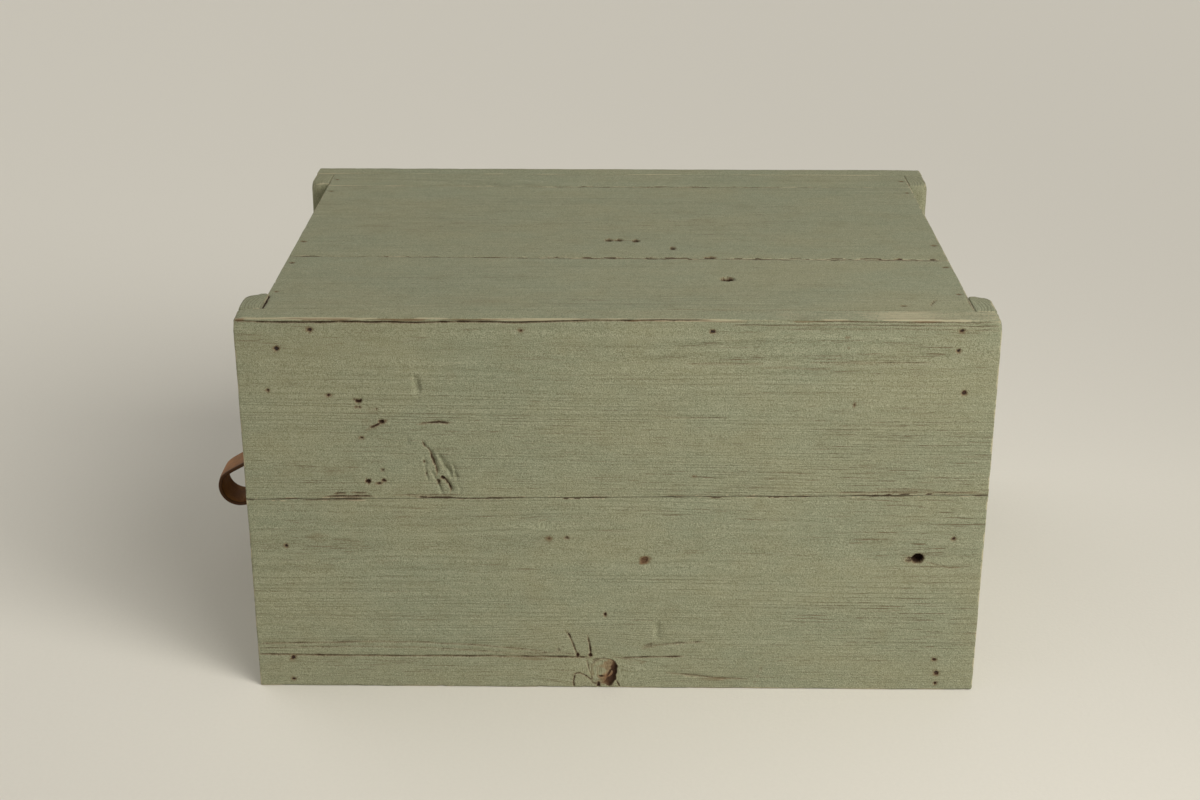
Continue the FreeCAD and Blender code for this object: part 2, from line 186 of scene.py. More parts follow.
def make_mesh(name, points, loops, sizes):
    """A mesh object at the origin from points in mm, the corners of its faces, and each face's corner count."""
    mesh = bpy.data.meshes.new(name)
    mesh.vertices.add(len(points))
    mesh.vertices.foreach_set("co", (points * MM).astype(np.float32).ravel())
    mesh.loops.add(len(loops))
    mesh.loops.foreach_set("vertex_index", loops.astype(np.int32))
    mesh.polygons.add(len(sizes))
    starts = np.concatenate(([0], np.cumsum(sizes)[:-1]))
    mesh.polygons.foreach_set("loop_start", starts.astype(np.int32))
    mesh.update(calc_edges=True)
    mesh.polygons.foreach_set("use_smooth", np.ones(len(sizes), bool))
    thing = bpy.data.objects.new(name, mesh)
    bpy.context.scene.collection.objects.link(thing)
    return thing


def set_attribute(thing, name, kind, values):
    """One value a point: kind is FLOAT_VECTOR with three numbers, or FLOAT_COLOR with four."""
    attribute = thing.data.attributes.new(name, kind, "POINT")
    key = "color" if kind == "FLOAT_COLOR" else "vector"
    attribute.data.foreach_set(key, values.astype(np.float32).ravel())


# --- the age of a timber's outer face -----------------------------------------------------------------------------
class Face:
    """The outer face of a timber while its marks are worked out. along is the place along the grain and across the
    place across it, both in mm. weight is 1 on the face and 0 off it. depth is how far the surface is cut back in mm,
    gap the distance in mm to the nearest hole or crack (below 0 inside it) and gloom how dark that one is painted
    inside, partly dirt and partly painted shade. wear, stain, thin (paint gone from the grain) and knotty are 0 to 1."""

    def __init__(self, along, across, weight, seed):
        self.along, self.across, self.weight, self.seed = along, across, weight, seed
        for name in ("depth", "wear", "stain", "thin", "knotty", "gloom"):
            setattr(self, name, np.zeros(len(along)))
        self.gap = np.full(len(along), NO_HOLE)
        self.flat = np.stack([along, across, np.zeros(len(along))], 1)

    def rough(self, cell, shift):
        """Noise over the face, with the cell's size along and across. Each shift gives another noise."""
        return noise(self.flat, (*cell, 1.0), self.seed + shift, 2)

    def distance(self, at, size, ragged, turn=0.0):
        """Distance from a place, 1 on the ellipse of that size, turned by degrees and with an uneven outline."""
        du, dv = self.along - at[0], self.across - at[1]
        c, s = math.cos(math.radians(turn)), math.sin(math.radians(turn))
        reach = np.hypot((du * c + dv * s) / size[0], (dv * c - du * s) / size[1])
        cell = (max(size[0], 1.2), max(size[1], 1.2))
        return reach * (1.0 + ragged * self.rough(cell, int(at[0] * 7 + at[1] * 13)))

    def mark(self, name, amount):
        """Keep the larger of what a mark is and what it becomes."""
        setattr(self, name, np.maximum(getattr(self, name), amount * self.weight))

    def open(self, away, dark, weight=None):
        """Note a hole or crack whose outline is away mm off: the nearest one counts."""
        away = away + (1.0 - (self.weight if weight is None else weight)) * NO_HOLE
        nearer = away < self.gap
        self.gap = np.where(nearer, away, self.gap)
        self.gloom = np.where(nearer, dark, self.gloom)

    def pit(self, at, size, depth, dark=1.0, ragged=0.25, halo=0.3, turn=0.0):
        """A hole with steep walls, painted dark inside as dirt and painted shade, with a faint brown ring round it.
        """
        away = self.distance(at, size, ragged, turn)
        edge = (away - 1.0) * min(size)
        self.depth += depth * fall(edge, -0.55, 0.3) * self.weight
        self.open(edge, dark)
        self.mark("stain", halo * fall(edge, 0.0, 2.2))

    def dent(self, at, size, depth, turn=0.0):
        """A smooth hollow where the wood was pressed in."""
        away = self.distance(at, size, 0.15, turn)
        self.depth += depth * fall(away, 0.1, 1.15) * self.weight

    def patch(self, name, at, size, amount):
        """A soft-edged patch of a mark, broken up by noise along the grain."""
        away = self.distance(at, size, 0.5)
        broken = 0.6 + 0.6 * self.rough((size[0] * 0.4 + 4.0, size[1] * 0.15 + 0.8), 31)
        self.mark(name, amount * fall(away, 0.2, 1.3) * np.clip(broken, 0.0, 1.0))

    def split(self, points, width, depth, dark=0.9, wander=0.25, lip=0.0, spread=0.0, jag=0.0):
        """A crack along a line of points. width is half of its dark line, which is painted near-black as dirt and
        painted shade in the crack, spread how far the slope on its far side reaches, as exp(-(d/spread)^2), and lip
        the height of a ridge on its near side, which wear paints pale, partly as chipped paint and partly as a
        painted highlight on the ridge. It starts and ends fine, its middle wanders by a slow noise and is made jagged
        by a fine one."""
        px, py = np.array(points, float).T
        steep = abs(py[-1] - py[0]) > abs(px[-1] - px[0])
        run, cross = (self.across, self.along) if steep else (self.along, self.across)
        keys, values = (py, px) if steep else (px, py)
        order = np.argsort(keys)
        keys, values = keys[order], values[order]
        length = keys[-1] - keys[0]
        taper = min(0.25, 5.0 / length)
        t = (run - keys[0]) / length
        ends = rise(t, 0.0, taper) * fall(t, 1.0 - taper, 1.0)
        middle = np.interp(run, keys, values) + wander * self.rough((8.0, 8.0), 57)
        if jag:
            middle = middle + jag * self.rough((2.6, 2.6), 59)
        uneven = 0.8 + 0.45 * self.rough((5.0, 5.0), 83)
        gap = cross - middle
        near, far = max(width, LEAST_GROOVE), max(width, LEAST_GROOVE, spread)
        groove = np.exp(-((gap / np.where(gap > 0, far, near)) ** 2)) * ends * np.clip(uneven, 0.2, 1.3)
        self.depth += depth * groove * self.weight
        if dark:
            half = width * (1.45 * ends * uneven - 0.45)
            outside = np.where((t < 0) | (t > 1), NO_HOLE, 0.0)
            self.open(np.abs(gap) - half + outside, dark)
        # the ridge's pale wear is partly chipped paint and partly a painted highlight on the ridge
        if lip:
            ridge = np.exp(-(((gap + 2.0 * near) / near) ** 2)) * ends * uneven
            self.depth -= lip * ridge * self.weight
            chips = np.clip(0.75 + 0.9 * self.rough((2.0, 2.0), 91), 0.0, 1.25)
            self.mark("wear", min(1.5 * lip, 0.7) * ridge * chips)

    def knot(self, at, size, depth, wall, lean_to):
        """A knot: a squarish oval bowl, |u|^n + |v|^n = 1 with KNOT_POWER as n, ringed and cracked inside. It deepens
        from depth to wall towards the side that lean_to names in degrees, where its rim is painted darkest: the
        knot's own dark rim, with painted shade of that deep wall, darker the deeper the wall."""
        du, dv = (self.along - at[0]) / size[0], (self.across - at[1]) / size[1]
        away = (np.abs(du) ** KNOT_POWER + np.abs(dv) ** KNOT_POWER) ** (1 / KNOT_POWER)
        away = away * (1.0 + 0.16 * self.rough((4.0, 4.0), 41))
        inside = fall(away, 0.9, 1.06)
        heading = math.radians(lean_to)
        ahead = du * math.cos(heading) + dv * math.sin(heading)
        lean = rise(ahead + 0.15 * self.rough((4.0, 4.0), 43), 0.2, 0.9)
        rings = 0.5 + 0.5 * np.cos(away * 15.0 + 2.5 * self.rough((3.0, 3.0), 21))
        lumps = 0.5 * depth * self.rough((3.0, 2.0), 25)
        self.depth += (depth + (wall - depth) * lean + 0.1 * rings + lumps) * inside * self.weight
        # rim darkness: 0.35 all round for the knot's own dark rim, and more on the deep side and the deeper the wall,
        # as painted shade of that wall
        side = rise(ahead / np.maximum(np.hypot(du, dv), 0.01), 0.25, 0.85) * min(wall, 1.0)
        wide = 0.05 + 0.17 * side * np.clip(1.0 + 0.8 * self.rough((5.0, 3.0), 17), 0.2, 2.0)
        rim = (np.abs(away - (1.0 - wide)) - wide) * min(size)
        broken = np.clip(0.4 + side + 0.9 * self.rough((4.0, 4.0), 15), 0.0, 1.0)
        self.open(rim + 0.4 - 0.6 * broken, 0.35 + 0.6 * side)
        bared = rise(ahead + 0.5 * self.rough((5.0, 2.0), 27), -0.3, 0.75)
        self.mark("knotty", inside * (0.16 + 0.72 * bared + 0.14 * rings))
        self.mark("wear", inside * (0.18 + 0.3 * bared))

    def pits(self, rows):
        """Holes: along, across, half its length, half its width, depth, then dark, ragged, halo and turn as pit has
        them."""
        for along, across, long, wide, *rest in rows:
            self.pit((along, across), (long, wide), *rest)

    def dents(self, rows):
        """Hollows: along, across, half its length, half its width, depth, then its turn."""
        for along, across, long, wide, *rest in rows:
            self.dent((along, across), (long, wide), *rest)

    def splits(self, rows):
        """Cracks: the line's points, width, depth, then dark, wander, lip, spread and jag as split has them."""
        for row in rows:
            self.split(*row)

    def patches(self, name, rows):
        """Patches of a mark: along, across, half its length, half its width, amount."""
        for along, across, long, wide, amount in rows:
            self.patch(name, (along, across), (long, wide), amount)

    def scar(self, rows):
        """Torn grain, as ragged cracks with lips: the line's points, width, depth and spread of each. The lips are
        painted pale, partly chipped fibres and partly painted highlight, and the wider cracks near-black, partly dirt
        and partly painted shade.
        """
        for points, width, depth, spread in rows:
            dark = 0.95 if width > 0.2 else 0.0
            self.split(points, width, 2.1 * depth, dark, wander=0.3, lip=0.5, spread=spread, jag=0.8)


# --- timbers ------------------------------------------------------------------------------------------------------
def cad_points(node):
    """The corner points of a CAD node's mesh, in mm."""
    mesh = frame["nodes"][node].data
    values = np.empty(len(mesh.vertices) * 3, np.float32)
    mesh.vertices.foreach_get("co", values)
    return values.reshape(-1, 3).astype(float) / MM


def nail_heads(node, axis, side):
    """Middles of the nail heads of a node that face along an axis, from the points that stand furthest out."""
    points = cad_points(node)
    middles = []
    outermost = points[:, axis].max() if side > 0 else points[:, axis].min()
    rim = points[np.abs(points[:, axis] - outermost) < 0.01]
    while len(rim):
        close = np.linalg.norm(rim - rim[0], axis=1) < HEAD_SPREAD
        ring = rim[close]
        middles.append((ring.max(0) + ring.min(0)) / 2)
        rim = rim[~close]
    return middles


def edge_fit(timber):
    """Places of a timber's two long edges at its front end and its back end, between which a plank tapers."""
    points = cad_points(timber.node)
    result = []
    for end in (timber.low[timber.grain], timber.high[timber.grain]):
        at_end = points[np.abs(points[:, timber.grain] - end) < 3.0]
        result.append((at_end[:, timber.cross].min(), at_end[:, timber.cross].max()))
    return result


class Timber:
    """A rounded, worn, closed timber that stands in a CAD node's space.

    grain is the axis its grain runs along, face the (axis, side) that shows most. Its surface is the node's box with
    each point at q + r n, where q is the point held r inside the box, n the direction from q to the point, and r an
    uneven wear radius. The outer face is then cut back by the marks that age adds. Sides named in quiet, which lie
    against another plank, have sharper arrises and keep more of their paint. Each pair of sides in rounder shares an
    edge that is worn rounder by extra_round. step and fine set the spacing of the mesh's lines, and sides in plain
    are one flat face each. A tapered plank's long edges follow its CAD node's."""

    def __init__(self, node, grain, face, seed, step=(1.6, 1.1), fine=None, plain=(), radius=1.1, worn=1.0,
                 tapered=False, age=None, pith=(10.0, 45.0), quiet=(), rounder=(), extra_round=2.2):
        self.node, self.grain, self.seed = node, grain, seed
        self.face_axis, self.face_side = face
        self.cross = 3 - grain - self.face_axis
        self.outward = 1.0 if self.face_side else -1.0
        self.low, self.high = (np.array(corner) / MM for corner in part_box(node))
        points, loops, sizes = box_shell(self.lattice(step, fine or {}), plain)
        reach = self.wear_radius(points, radius, worn, quiet, rounder, extra_round)
        shaped, self.normal = self.round_off(points, reach)
        self.measure_edges(points, quiet)
        if tapered:
            shaped, points = self.taper(shaped), self.taper(points)
        self.points = points
        self.facing = self.normal[:, self.face_axis] * self.outward
        self.marks = Face(points[:, grain], points[:, self.cross], rise(self.facing, 0.55, 0.95), seed)
        self.end = rise(np.abs(self.normal[:, grain]), 0.5, 0.9)
        self.knots = []
        self.weather(worn)
        if age:
            age(self)
        self.bare_inside()
        shaped[:, self.face_axis] -= self.outward * np.maximum(self.marks.depth, 0.0)
        shaped -= self.normal * self.relief[:, None]
        self.thing = make_mesh(node + "_worn", shaped, loops, sizes)
        self.write_attributes(pith)

    def lattice(self, step, fine):
        """Lines through the box along X, Y and Z. step is their spacing along the grain and across it, in mm."""
        lines = []
        for axis in (X, Y, Z):
            wanted = step[0] if axis == self.grain else step[1]
            if axis == self.face_axis:
                wanted = max(wanted, DEEP_STEP)
            lines.append(spread_lines(self.low[axis], self.high[axis], wanted, fine.get(axis, ())))
        return lines

    def from_side(self, points, axis, side):
        """How far points are from one side of the box, in mm."""
        return np.abs(points[:, axis] - (self.high if side else self.low)[axis])

    def wear_radius(self, points, radius, worn, quiet, rounder, extra_round):
        """The radius r of each point: a broad noise and chips on the radius given, less along quiet sides and more
        near the edge of each rounder pair."""
        broad = noise(points, (14.0, 14.0, 14.0), self.seed + 1, 3)
        chips = noise(points, (7.0, 7.0, 7.0), self.seed + 2, 2)
        uneven = radius * (1.0 + 0.55 * broad) + 0.9 * worn * rise(chips, 0.35, 0.75)
        r = np.clip(uneven, LEAST_ROUND, MOST_ROUND)
        for axis, side in quiet:
            r = np.where(self.from_side(points, axis, side) < QUIET_REACH, r * QUIET_SHARE, r)
        for pair in rounder:
            away = [self.from_side(points, axis, side) for axis, side in pair]
            r = r + extra_round * fall(np.maximum(*away), 1.0, 8.0)
        return r[:, None]

    def round_off(self, points, r):
        """Each point moved to q + r n, and its n."""
        held = np.minimum(np.maximum(points, self.low + r), self.high - r)
        out = points - held
        length = np.maximum(np.linalg.norm(out, axis=1, keepdims=True), 1e-9)
        normal = out / length
        return held + normal * np.minimum(length, r), normal

    def measure_edges(self, points, quiet):
        """Distances to the nearest edge and to the nearest open one: the second smallest distance to a side."""
        sides = np.concatenate([points - self.low, self.high - points], 1)
        self.edge = np.sort(sides, 1)[:, 1]
        for axis, side in quiet:
            sides[:, axis + 3 * side] += QUIET_SHELTER
        self.open_edge = np.sort(sides, 1)[:, 1]

    def taper(self, points):
        """Slide a plank's two long edges so that they meet the CAD plank's at the front end and the back end."""
        t = self.share(points, self.grain)
        (front_low, front_high), (back_low, back_high) = edge_fit(self)
        lower = front_low + (back_low - front_low) * t
        upper = front_high + (back_high - front_high) * t
        moved = points.copy()
        moved[:, self.cross] = lower + (upper - lower) * self.share(points, self.cross)
        return moved

    def share(self, points, axis):
        """How far along an axis of the box points are, 0 to 1."""
        return (points[:, axis] - self.low[axis]) / (self.high[axis] - self.low[axis])

    def grain_cell(self, across, along):
        """A noise cell that is longer along the grain."""
        cell = np.full(3, across)
        cell[self.grain] = along
        return cell

    def weather(self, worn):
        """Relief and wear that every old timber has: shallow streaks along the grain, and paint rubbed off edges."""
        streaks = noise(self.points, self.grain_cell(3.2, 55.0), self.seed + 11, 2)
        broad = noise(self.points, self.grain_cell(22.0, 130.0), self.seed + 12, 2)
        lump = noise(self.points, (6.0, 6.0, 6.0), self.seed + 14, 2)
        relief = 0.12 + 0.07 * streaks + 0.12 * (0.5 + 0.5 * broad) + 0.05 * lump
        self.relief = relief * rise(self.edge, 0.0, 1.2)
        rub = noise(self.points, self.grain_cell(6.0, 16.0), self.seed + 13, 3)
        self.rubbed = 0.85 * worn * fall(self.open_edge, 0.2, 1.5 + 1.3 * rub) * rise(rub, -0.6, 0.45)

    def bare_inside(self):
        """The face that turns away from sight was never painted: full wear there, and no other mark."""
        inside = self.facing < UNPAINTED
        for name, value in (("wear", 1.0), ("stain", 0.0), ("thin", 0.0), ("gap", NO_HOLE), ("gloom", 0.0)):
            getattr(self.marks, name)[inside] = value
        self.end[inside] = 0.0

    def ring_field(self, pith):
        """Ring number: the distance hypot(across - a, deep - b) from the tree's middle over the ring's width, bent by
        slow noise along the grain, with the rings led round each knot. pith is how far the tree's middle lies across
        from the timber's and how far behind it."""
        along = self.points[:, self.grain]
        across = self.points[:, self.cross].copy()
        deep = self.points[:, self.face_axis]
        for at, size in self.knots:
            reach = np.hypot((along - at[0]) / (size[0] * 3.0), (across - at[1]) / (size[1] * 1.7))
            across = at[1] + (across - at[1]) * (1.0 - 0.92 * np.exp(-(reach**2)))
        middle = (self.low + self.high) / 2
        shift, below = pith
        place = np.stack([along, across, deep], 1)
        bend = 2.4 * noise(place, (240.0, 60.0, 60.0), self.seed + 21, 2)
        bend += 0.45 * noise(place, (60.0, 9.0, 9.0), self.seed + 22, 2)
        radius = np.hypot(across - middle[self.cross] - shift, deep - middle[self.face_axis] + self.outward * below)
        return (radius + bend) / RING_STEP, along, across + bend

    def write_attributes(self, pith):
        """wood holds (place along the grain in mm, ring number, place across it in mm), age (wear, stain, end grain,
        bare grain) and holes (distance to the nearest hole in mm, its darkness, knot)."""
        marks = self.marks
        ring, along, across = self.ring_field(pith)
        deep = self.points[:, self.face_axis] * 0.7
        set_attribute(self.thing, "wood", "FLOAT_VECTOR", np.stack([along, ring, across + deep], 1))
        wear = np.clip(np.maximum(marks.wear, self.rubbed), 0, 1)
        stain, thin = np.clip(marks.stain, 0, 1), np.clip(marks.thin, 0, 1)
        set_attribute(self.thing, "age", "FLOAT_COLOR", np.stack([wear, stain, self.end, thin], 1))
        holes = np.stack([marks.gap, marks.gloom, np.clip(marks.knotty, 0, 1)], 1)
        set_attribute(self.thing, "holes", "FLOAT_VECTOR", holes)

    def finish(self, material, body, slot):
        """Give the timber its material and the body that it rides on, in its CAD node's place. slot is not used."""
        self.thing.data.materials.append(finish_for(material))
        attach(self.thing, body)
        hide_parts(self.node)


def nail_pits(timber, node, axis, side):
    """A pit over each nail head of a group that this timber's outer face meets."""
    for count, middle in enumerate(nail_heads(node, axis, side)):
        wide = 0.82 * (1.0 + 0.25 * math.sin(count * 2.4 + timber.seed))
        timber.marks.pit((middle[timber.grain], middle[timber.cross]), (wide * 1.2, wide), 1.1, dark=0.9, ragged=0.4,
                         halo=0.45, turn=40.0 * math.sin(count * 1.7))


# --- marks of each visible timber, in mm along the grain and across it ---------------------------------------------
# the columns of each table are in the docstrings of Face.pits, dents, splits, scar and patches
def age_right_upper(timber):
    """Upper plank of the long side at +X: a torn scar, worm holes, a dent and a splintered top arris."""
    marks = timber.marks
    nail_pits(timber, "right_side_nails", X, 1)
    marks.pits((
        (-152.0, 176.3, 1.2, 0.7, 1.0),
        (-136.7, 173.0, 1.35, 0.95, 1.5, 1.0, 0.7, 0.3, 20.0),
        (-137.7, 169.7, 0.5, 0.4, 0.6),
        (-135.9, 169.7, 0.5, 0.4, 0.6),
        (-127.0, 168.6, 0.45, 0.4, 0.5, 0.7),
        (-124.4, 161.2, 1.3, 1.0, 1.6, 1.0, 0.5, 0.3, 20.0),
        (-127.2, 159.6, 2.6, 0.5, 0.8, 1.0, 0.6, 0.3, 28.0),
        (-135.8, 152.1, 0.95, 0.5, 0.9),
        (-133.0, 126.6, 1.4, 1.2, 1.4, 1.0, 0.5),
        (-127.4, 125.4, 1.2, 0.5, 0.9, 1.0, 0.4),
        (-124.8, 127.1, 1.0, 0.7, 1.0, 1.0, 0.4),
        (-125.3, 133.4, 0.8, 0.6, 0.7, 0.45),
        (125.7, 172.2, 0.5, 0.9, 0.9),
        (41.9, 130.6, 0.6, 0.4, 0.6, 0.8),
        (-93.0, 129.0, 1.1, 0.8, 1.2, 1.0, 0.5, 0.1),
        (-95.4, 126.6, 0.7, 1.1, 0.9, 0.7, 0.6, 0.1),
        (-102.8, 138.4, 0.35, 0.6, 0.5, 0.8, 0.25, 0.1),
        (-101.9, 131.2, 0.3, 0.6, 0.4, 0.6, 0.25, 0.1),
    ))
    marks.dents((
        (-105.2, 181.9, 2.6, 6.4, 1.4, 6.0),
        (-111.5, 150.0, 1.6, 4.4, 0.8),
    ))
    marks.splits((
        (((-106.5, 160.1), (-99.0, 161.0), (-94.0, 161.4), (-90.0, 160.7), (-86.0, 161.0)),
         0.62, 1.2, 0.9, 0.1),
        # pale ridge beside the dent: painted highlight on the dent's lit wall, with chipped paint
        (((-106.8, 190.0), (-107.2, 184.0), (-107.6, 177.0)), 0.3, 0.4, 0.0, 0.25, 0.45, 0.8, 0.4),
        (((-212.0, 217.6), (-190.0, 217.3), (-170.0, 217.2), (-140.0, 217.5), (-100.0, 217.3), (-80.0, 218.0),
          (-55.0, 217.5), (-30.0, 218.3), (0.0, 219.0), (24.0, 219.2), (50.0, 219.5)), 0.34, 1.3, 0.9, 0.3),
        (((60.0, 216.6), (120.0, 216.9), (201.0, 216.4)), 0.16, 0.25, 0.46),
        (((100.0, 218.7), (150.0, 218.5), (201.0, 218.6)), 0.16, 0.25, 0.46, 0.4),
        (((90.0, 214.6), (150.0, 214.9), (201.0, 214.2)), 0.14, 0.2, 0.42),
        (((36.0, 195.2), (52.0, 195.0), (76.0, 195.1)), 0.13, 0.2, 0.5),
        (((75.0, 193.0), (92.0, 193.1), (112.0, 192.6)), 0.16, 0.25, 0.55),
        (((100.0, 196.3), (130.0, 195.9), (165.0, 196.6)), 0.14, 0.2, 0.5),
        (((20.0, 165.0), (40.0, 164.6), (58.0, 164.9)), 0.12, 0.2, 0.35),
        (((-158.0, 117.5), (-148.0, 117.7), (-130.0, 117.9)), 0.42, 1.0, 0.9, 0.1),
        (((-153.0, 119.2), (-149.0, 119.6), (-145.0, 119.5)), 0.3, 0.7, 0.9, 0.1),
        (((-143.5, 119.9), (-139.0, 119.7), (-134.0, 119.8)), 0.26, 0.6, 0.9, 0.1),
        (((-120.0, 118.4), (-100.0, 118.6), (-84.0, 118.9)), 0.2, 0.6, 0.7),
        (((118.0, 121.2), (150.0, 121.9), (196.0, 121.8)), 0.26, 0.6, 0.8, 0.4),
        (((140.0, 123.6), (156.0, 123.8), (170.0, 123.4)), 0.14, 0.3, 0.5, 0.4),
    ))
    marks.scar((
        (((-103.6, 150.6), (-102.4, 147.1), (-100.6, 145.6), (-98.8, 142.6)), 0.26, 0.7, 1.0),
        (((-100.2, 146.4), (-98.7, 141.6), (-97.2, 137.5), (-96.1, 129.7)), 0.36, 0.8, 1.3),
        (((-96.4, 144.0), (-94.2, 140.0), (-92.2, 135.0), (-89.8, 131.6), (-86.4, 127.0)), 0.16, 0.85, 2.8),
        (((-88.4, 138.0), (-86.6, 132.0), (-86.0, 127.0)), 0.1, 0.4, 1.6),
        (((-102.8, 142.0), (-102.6, 134.0), (-100.6, 124.0)), 0.12, 0.45, 0.9),
        (((-99.6, 134.0), (-97.5, 129.0), (-96.0, 125.0)), 0.14, 0.5, 1.4),
        (((-94.0, 129.8), (-91.6, 127.6), (-89.6, 124.0), (-89.2, 119.6)), 0.36, 1.0, 1.4),
        (((-96.0, 127.0), (-95.4, 122.0), (-94.6, 118.6)), 0.16, 0.7, 1.5),
        (((-85.4, 126.0), (-84.6, 122.0), (-84.2, 118.0)), 0.12, 0.3, 1.0),
    ))
    marks.patches("wear", ((-98.6, 120.8, 2.4, 4.0, 0.34),))
    marks.patches("stain", (
        (-132.0, 163.0, 9.0, 13.0, 0.34),
        (-152.5, 133.5, 11.0, 4.0, 0.42),
        (-160.0, 212.0, 5.0, 4.0, 0.4),
        (-87.5, 188.0, 6.0, 5.0, 0.3),
        (120.0, 210.0, 1.5, 2.2, 0.8),
        (120.8, 204.0, 1.0, 1.8, 0.7),
        (158.0, 190.0, 12.0, 7.0, 0.25),
        (33.0, 177.0, 9.0, 7.0, 0.22),
    ))
    marks.patches("thin", (
        (108.0, 195.0, 34.0, 5.0, 1.0),
        (52.0, 196.0, 24.0, 2.5, 0.7),
        (-184.0, 209.0, 18.0, 7.0, 0.7),
        (-120.0, 210.0, 60.0, 5.0, 0.4),
        (60.0, 206.0, 80.0, 9.0, 0.5),
        (160.0, 205.0, 40.0, 12.0, 0.55),
        (160.0, 146.0, 52.0, 34.0, 1.0),
        (40.0, 151.0, 28.0, 4.0, 0.8),
        (60.0, 126.0, 130.0, 14.0, 0.5),
        (-155.0, 132.0, 26.0, 14.0, 0.5),
        (-50.0, 155.0, 90.0, 26.0, 0.25),
    ))
    worn_arris(timber)
    torn_joint(timber, ((-156.0, -132.0, 1.9), (-112.0, -84.0, 0.9), (140.0, 186.0, 1.2)), side=-1)


ARRIS_BAND = 219.3           # height of the middle of the worn band under the right side's top arris, mm


def worn_arris(timber):
    """The top arris of the right side: bare wood in a broken band just below it, less towards the back end, brown
    dashes in the band, and a rubbed crown at the back end."""
    marks = timber.marks
    near_face = fall(timber.high[X] - timber.points[:, X], 0.7, 2.2)
    kept = 1.0 - 0.4 * rise(marks.along, 20.0, 90.0)
    above = marks.across - ARRIS_BAND
    band = np.exp(-((above / 1.2) ** 2))
    band = band * (0.62 + 0.5 * marks.rough((24.0, 24.0), 44)) * near_face * kept
    crown = rise(timber.normal[:, Z], 0.6, 0.9) * rise(marks.along, -60.0, 110.0)
    crown = crown * (0.5 + 0.25 * marks.rough((30.0, 8.0), 49))
    marks.wear = np.maximum(np.maximum(marks.wear, np.clip(band, 0, 0.85)), crown)
    dashes = rise(marks.rough((16.0, 0.8), 47), 0.05, 0.4) * fall(np.abs(above + 0.4), 0.4, 1.2)
    corner = fall(np.abs(marks.along + 197.0), 2.0, 4.5) * fall(np.abs(above + 0.7), 0.5, 1.5)
    marks.stain = np.maximum(marks.stain, near_face * np.maximum(0.75 * dashes, 0.9 * corner))


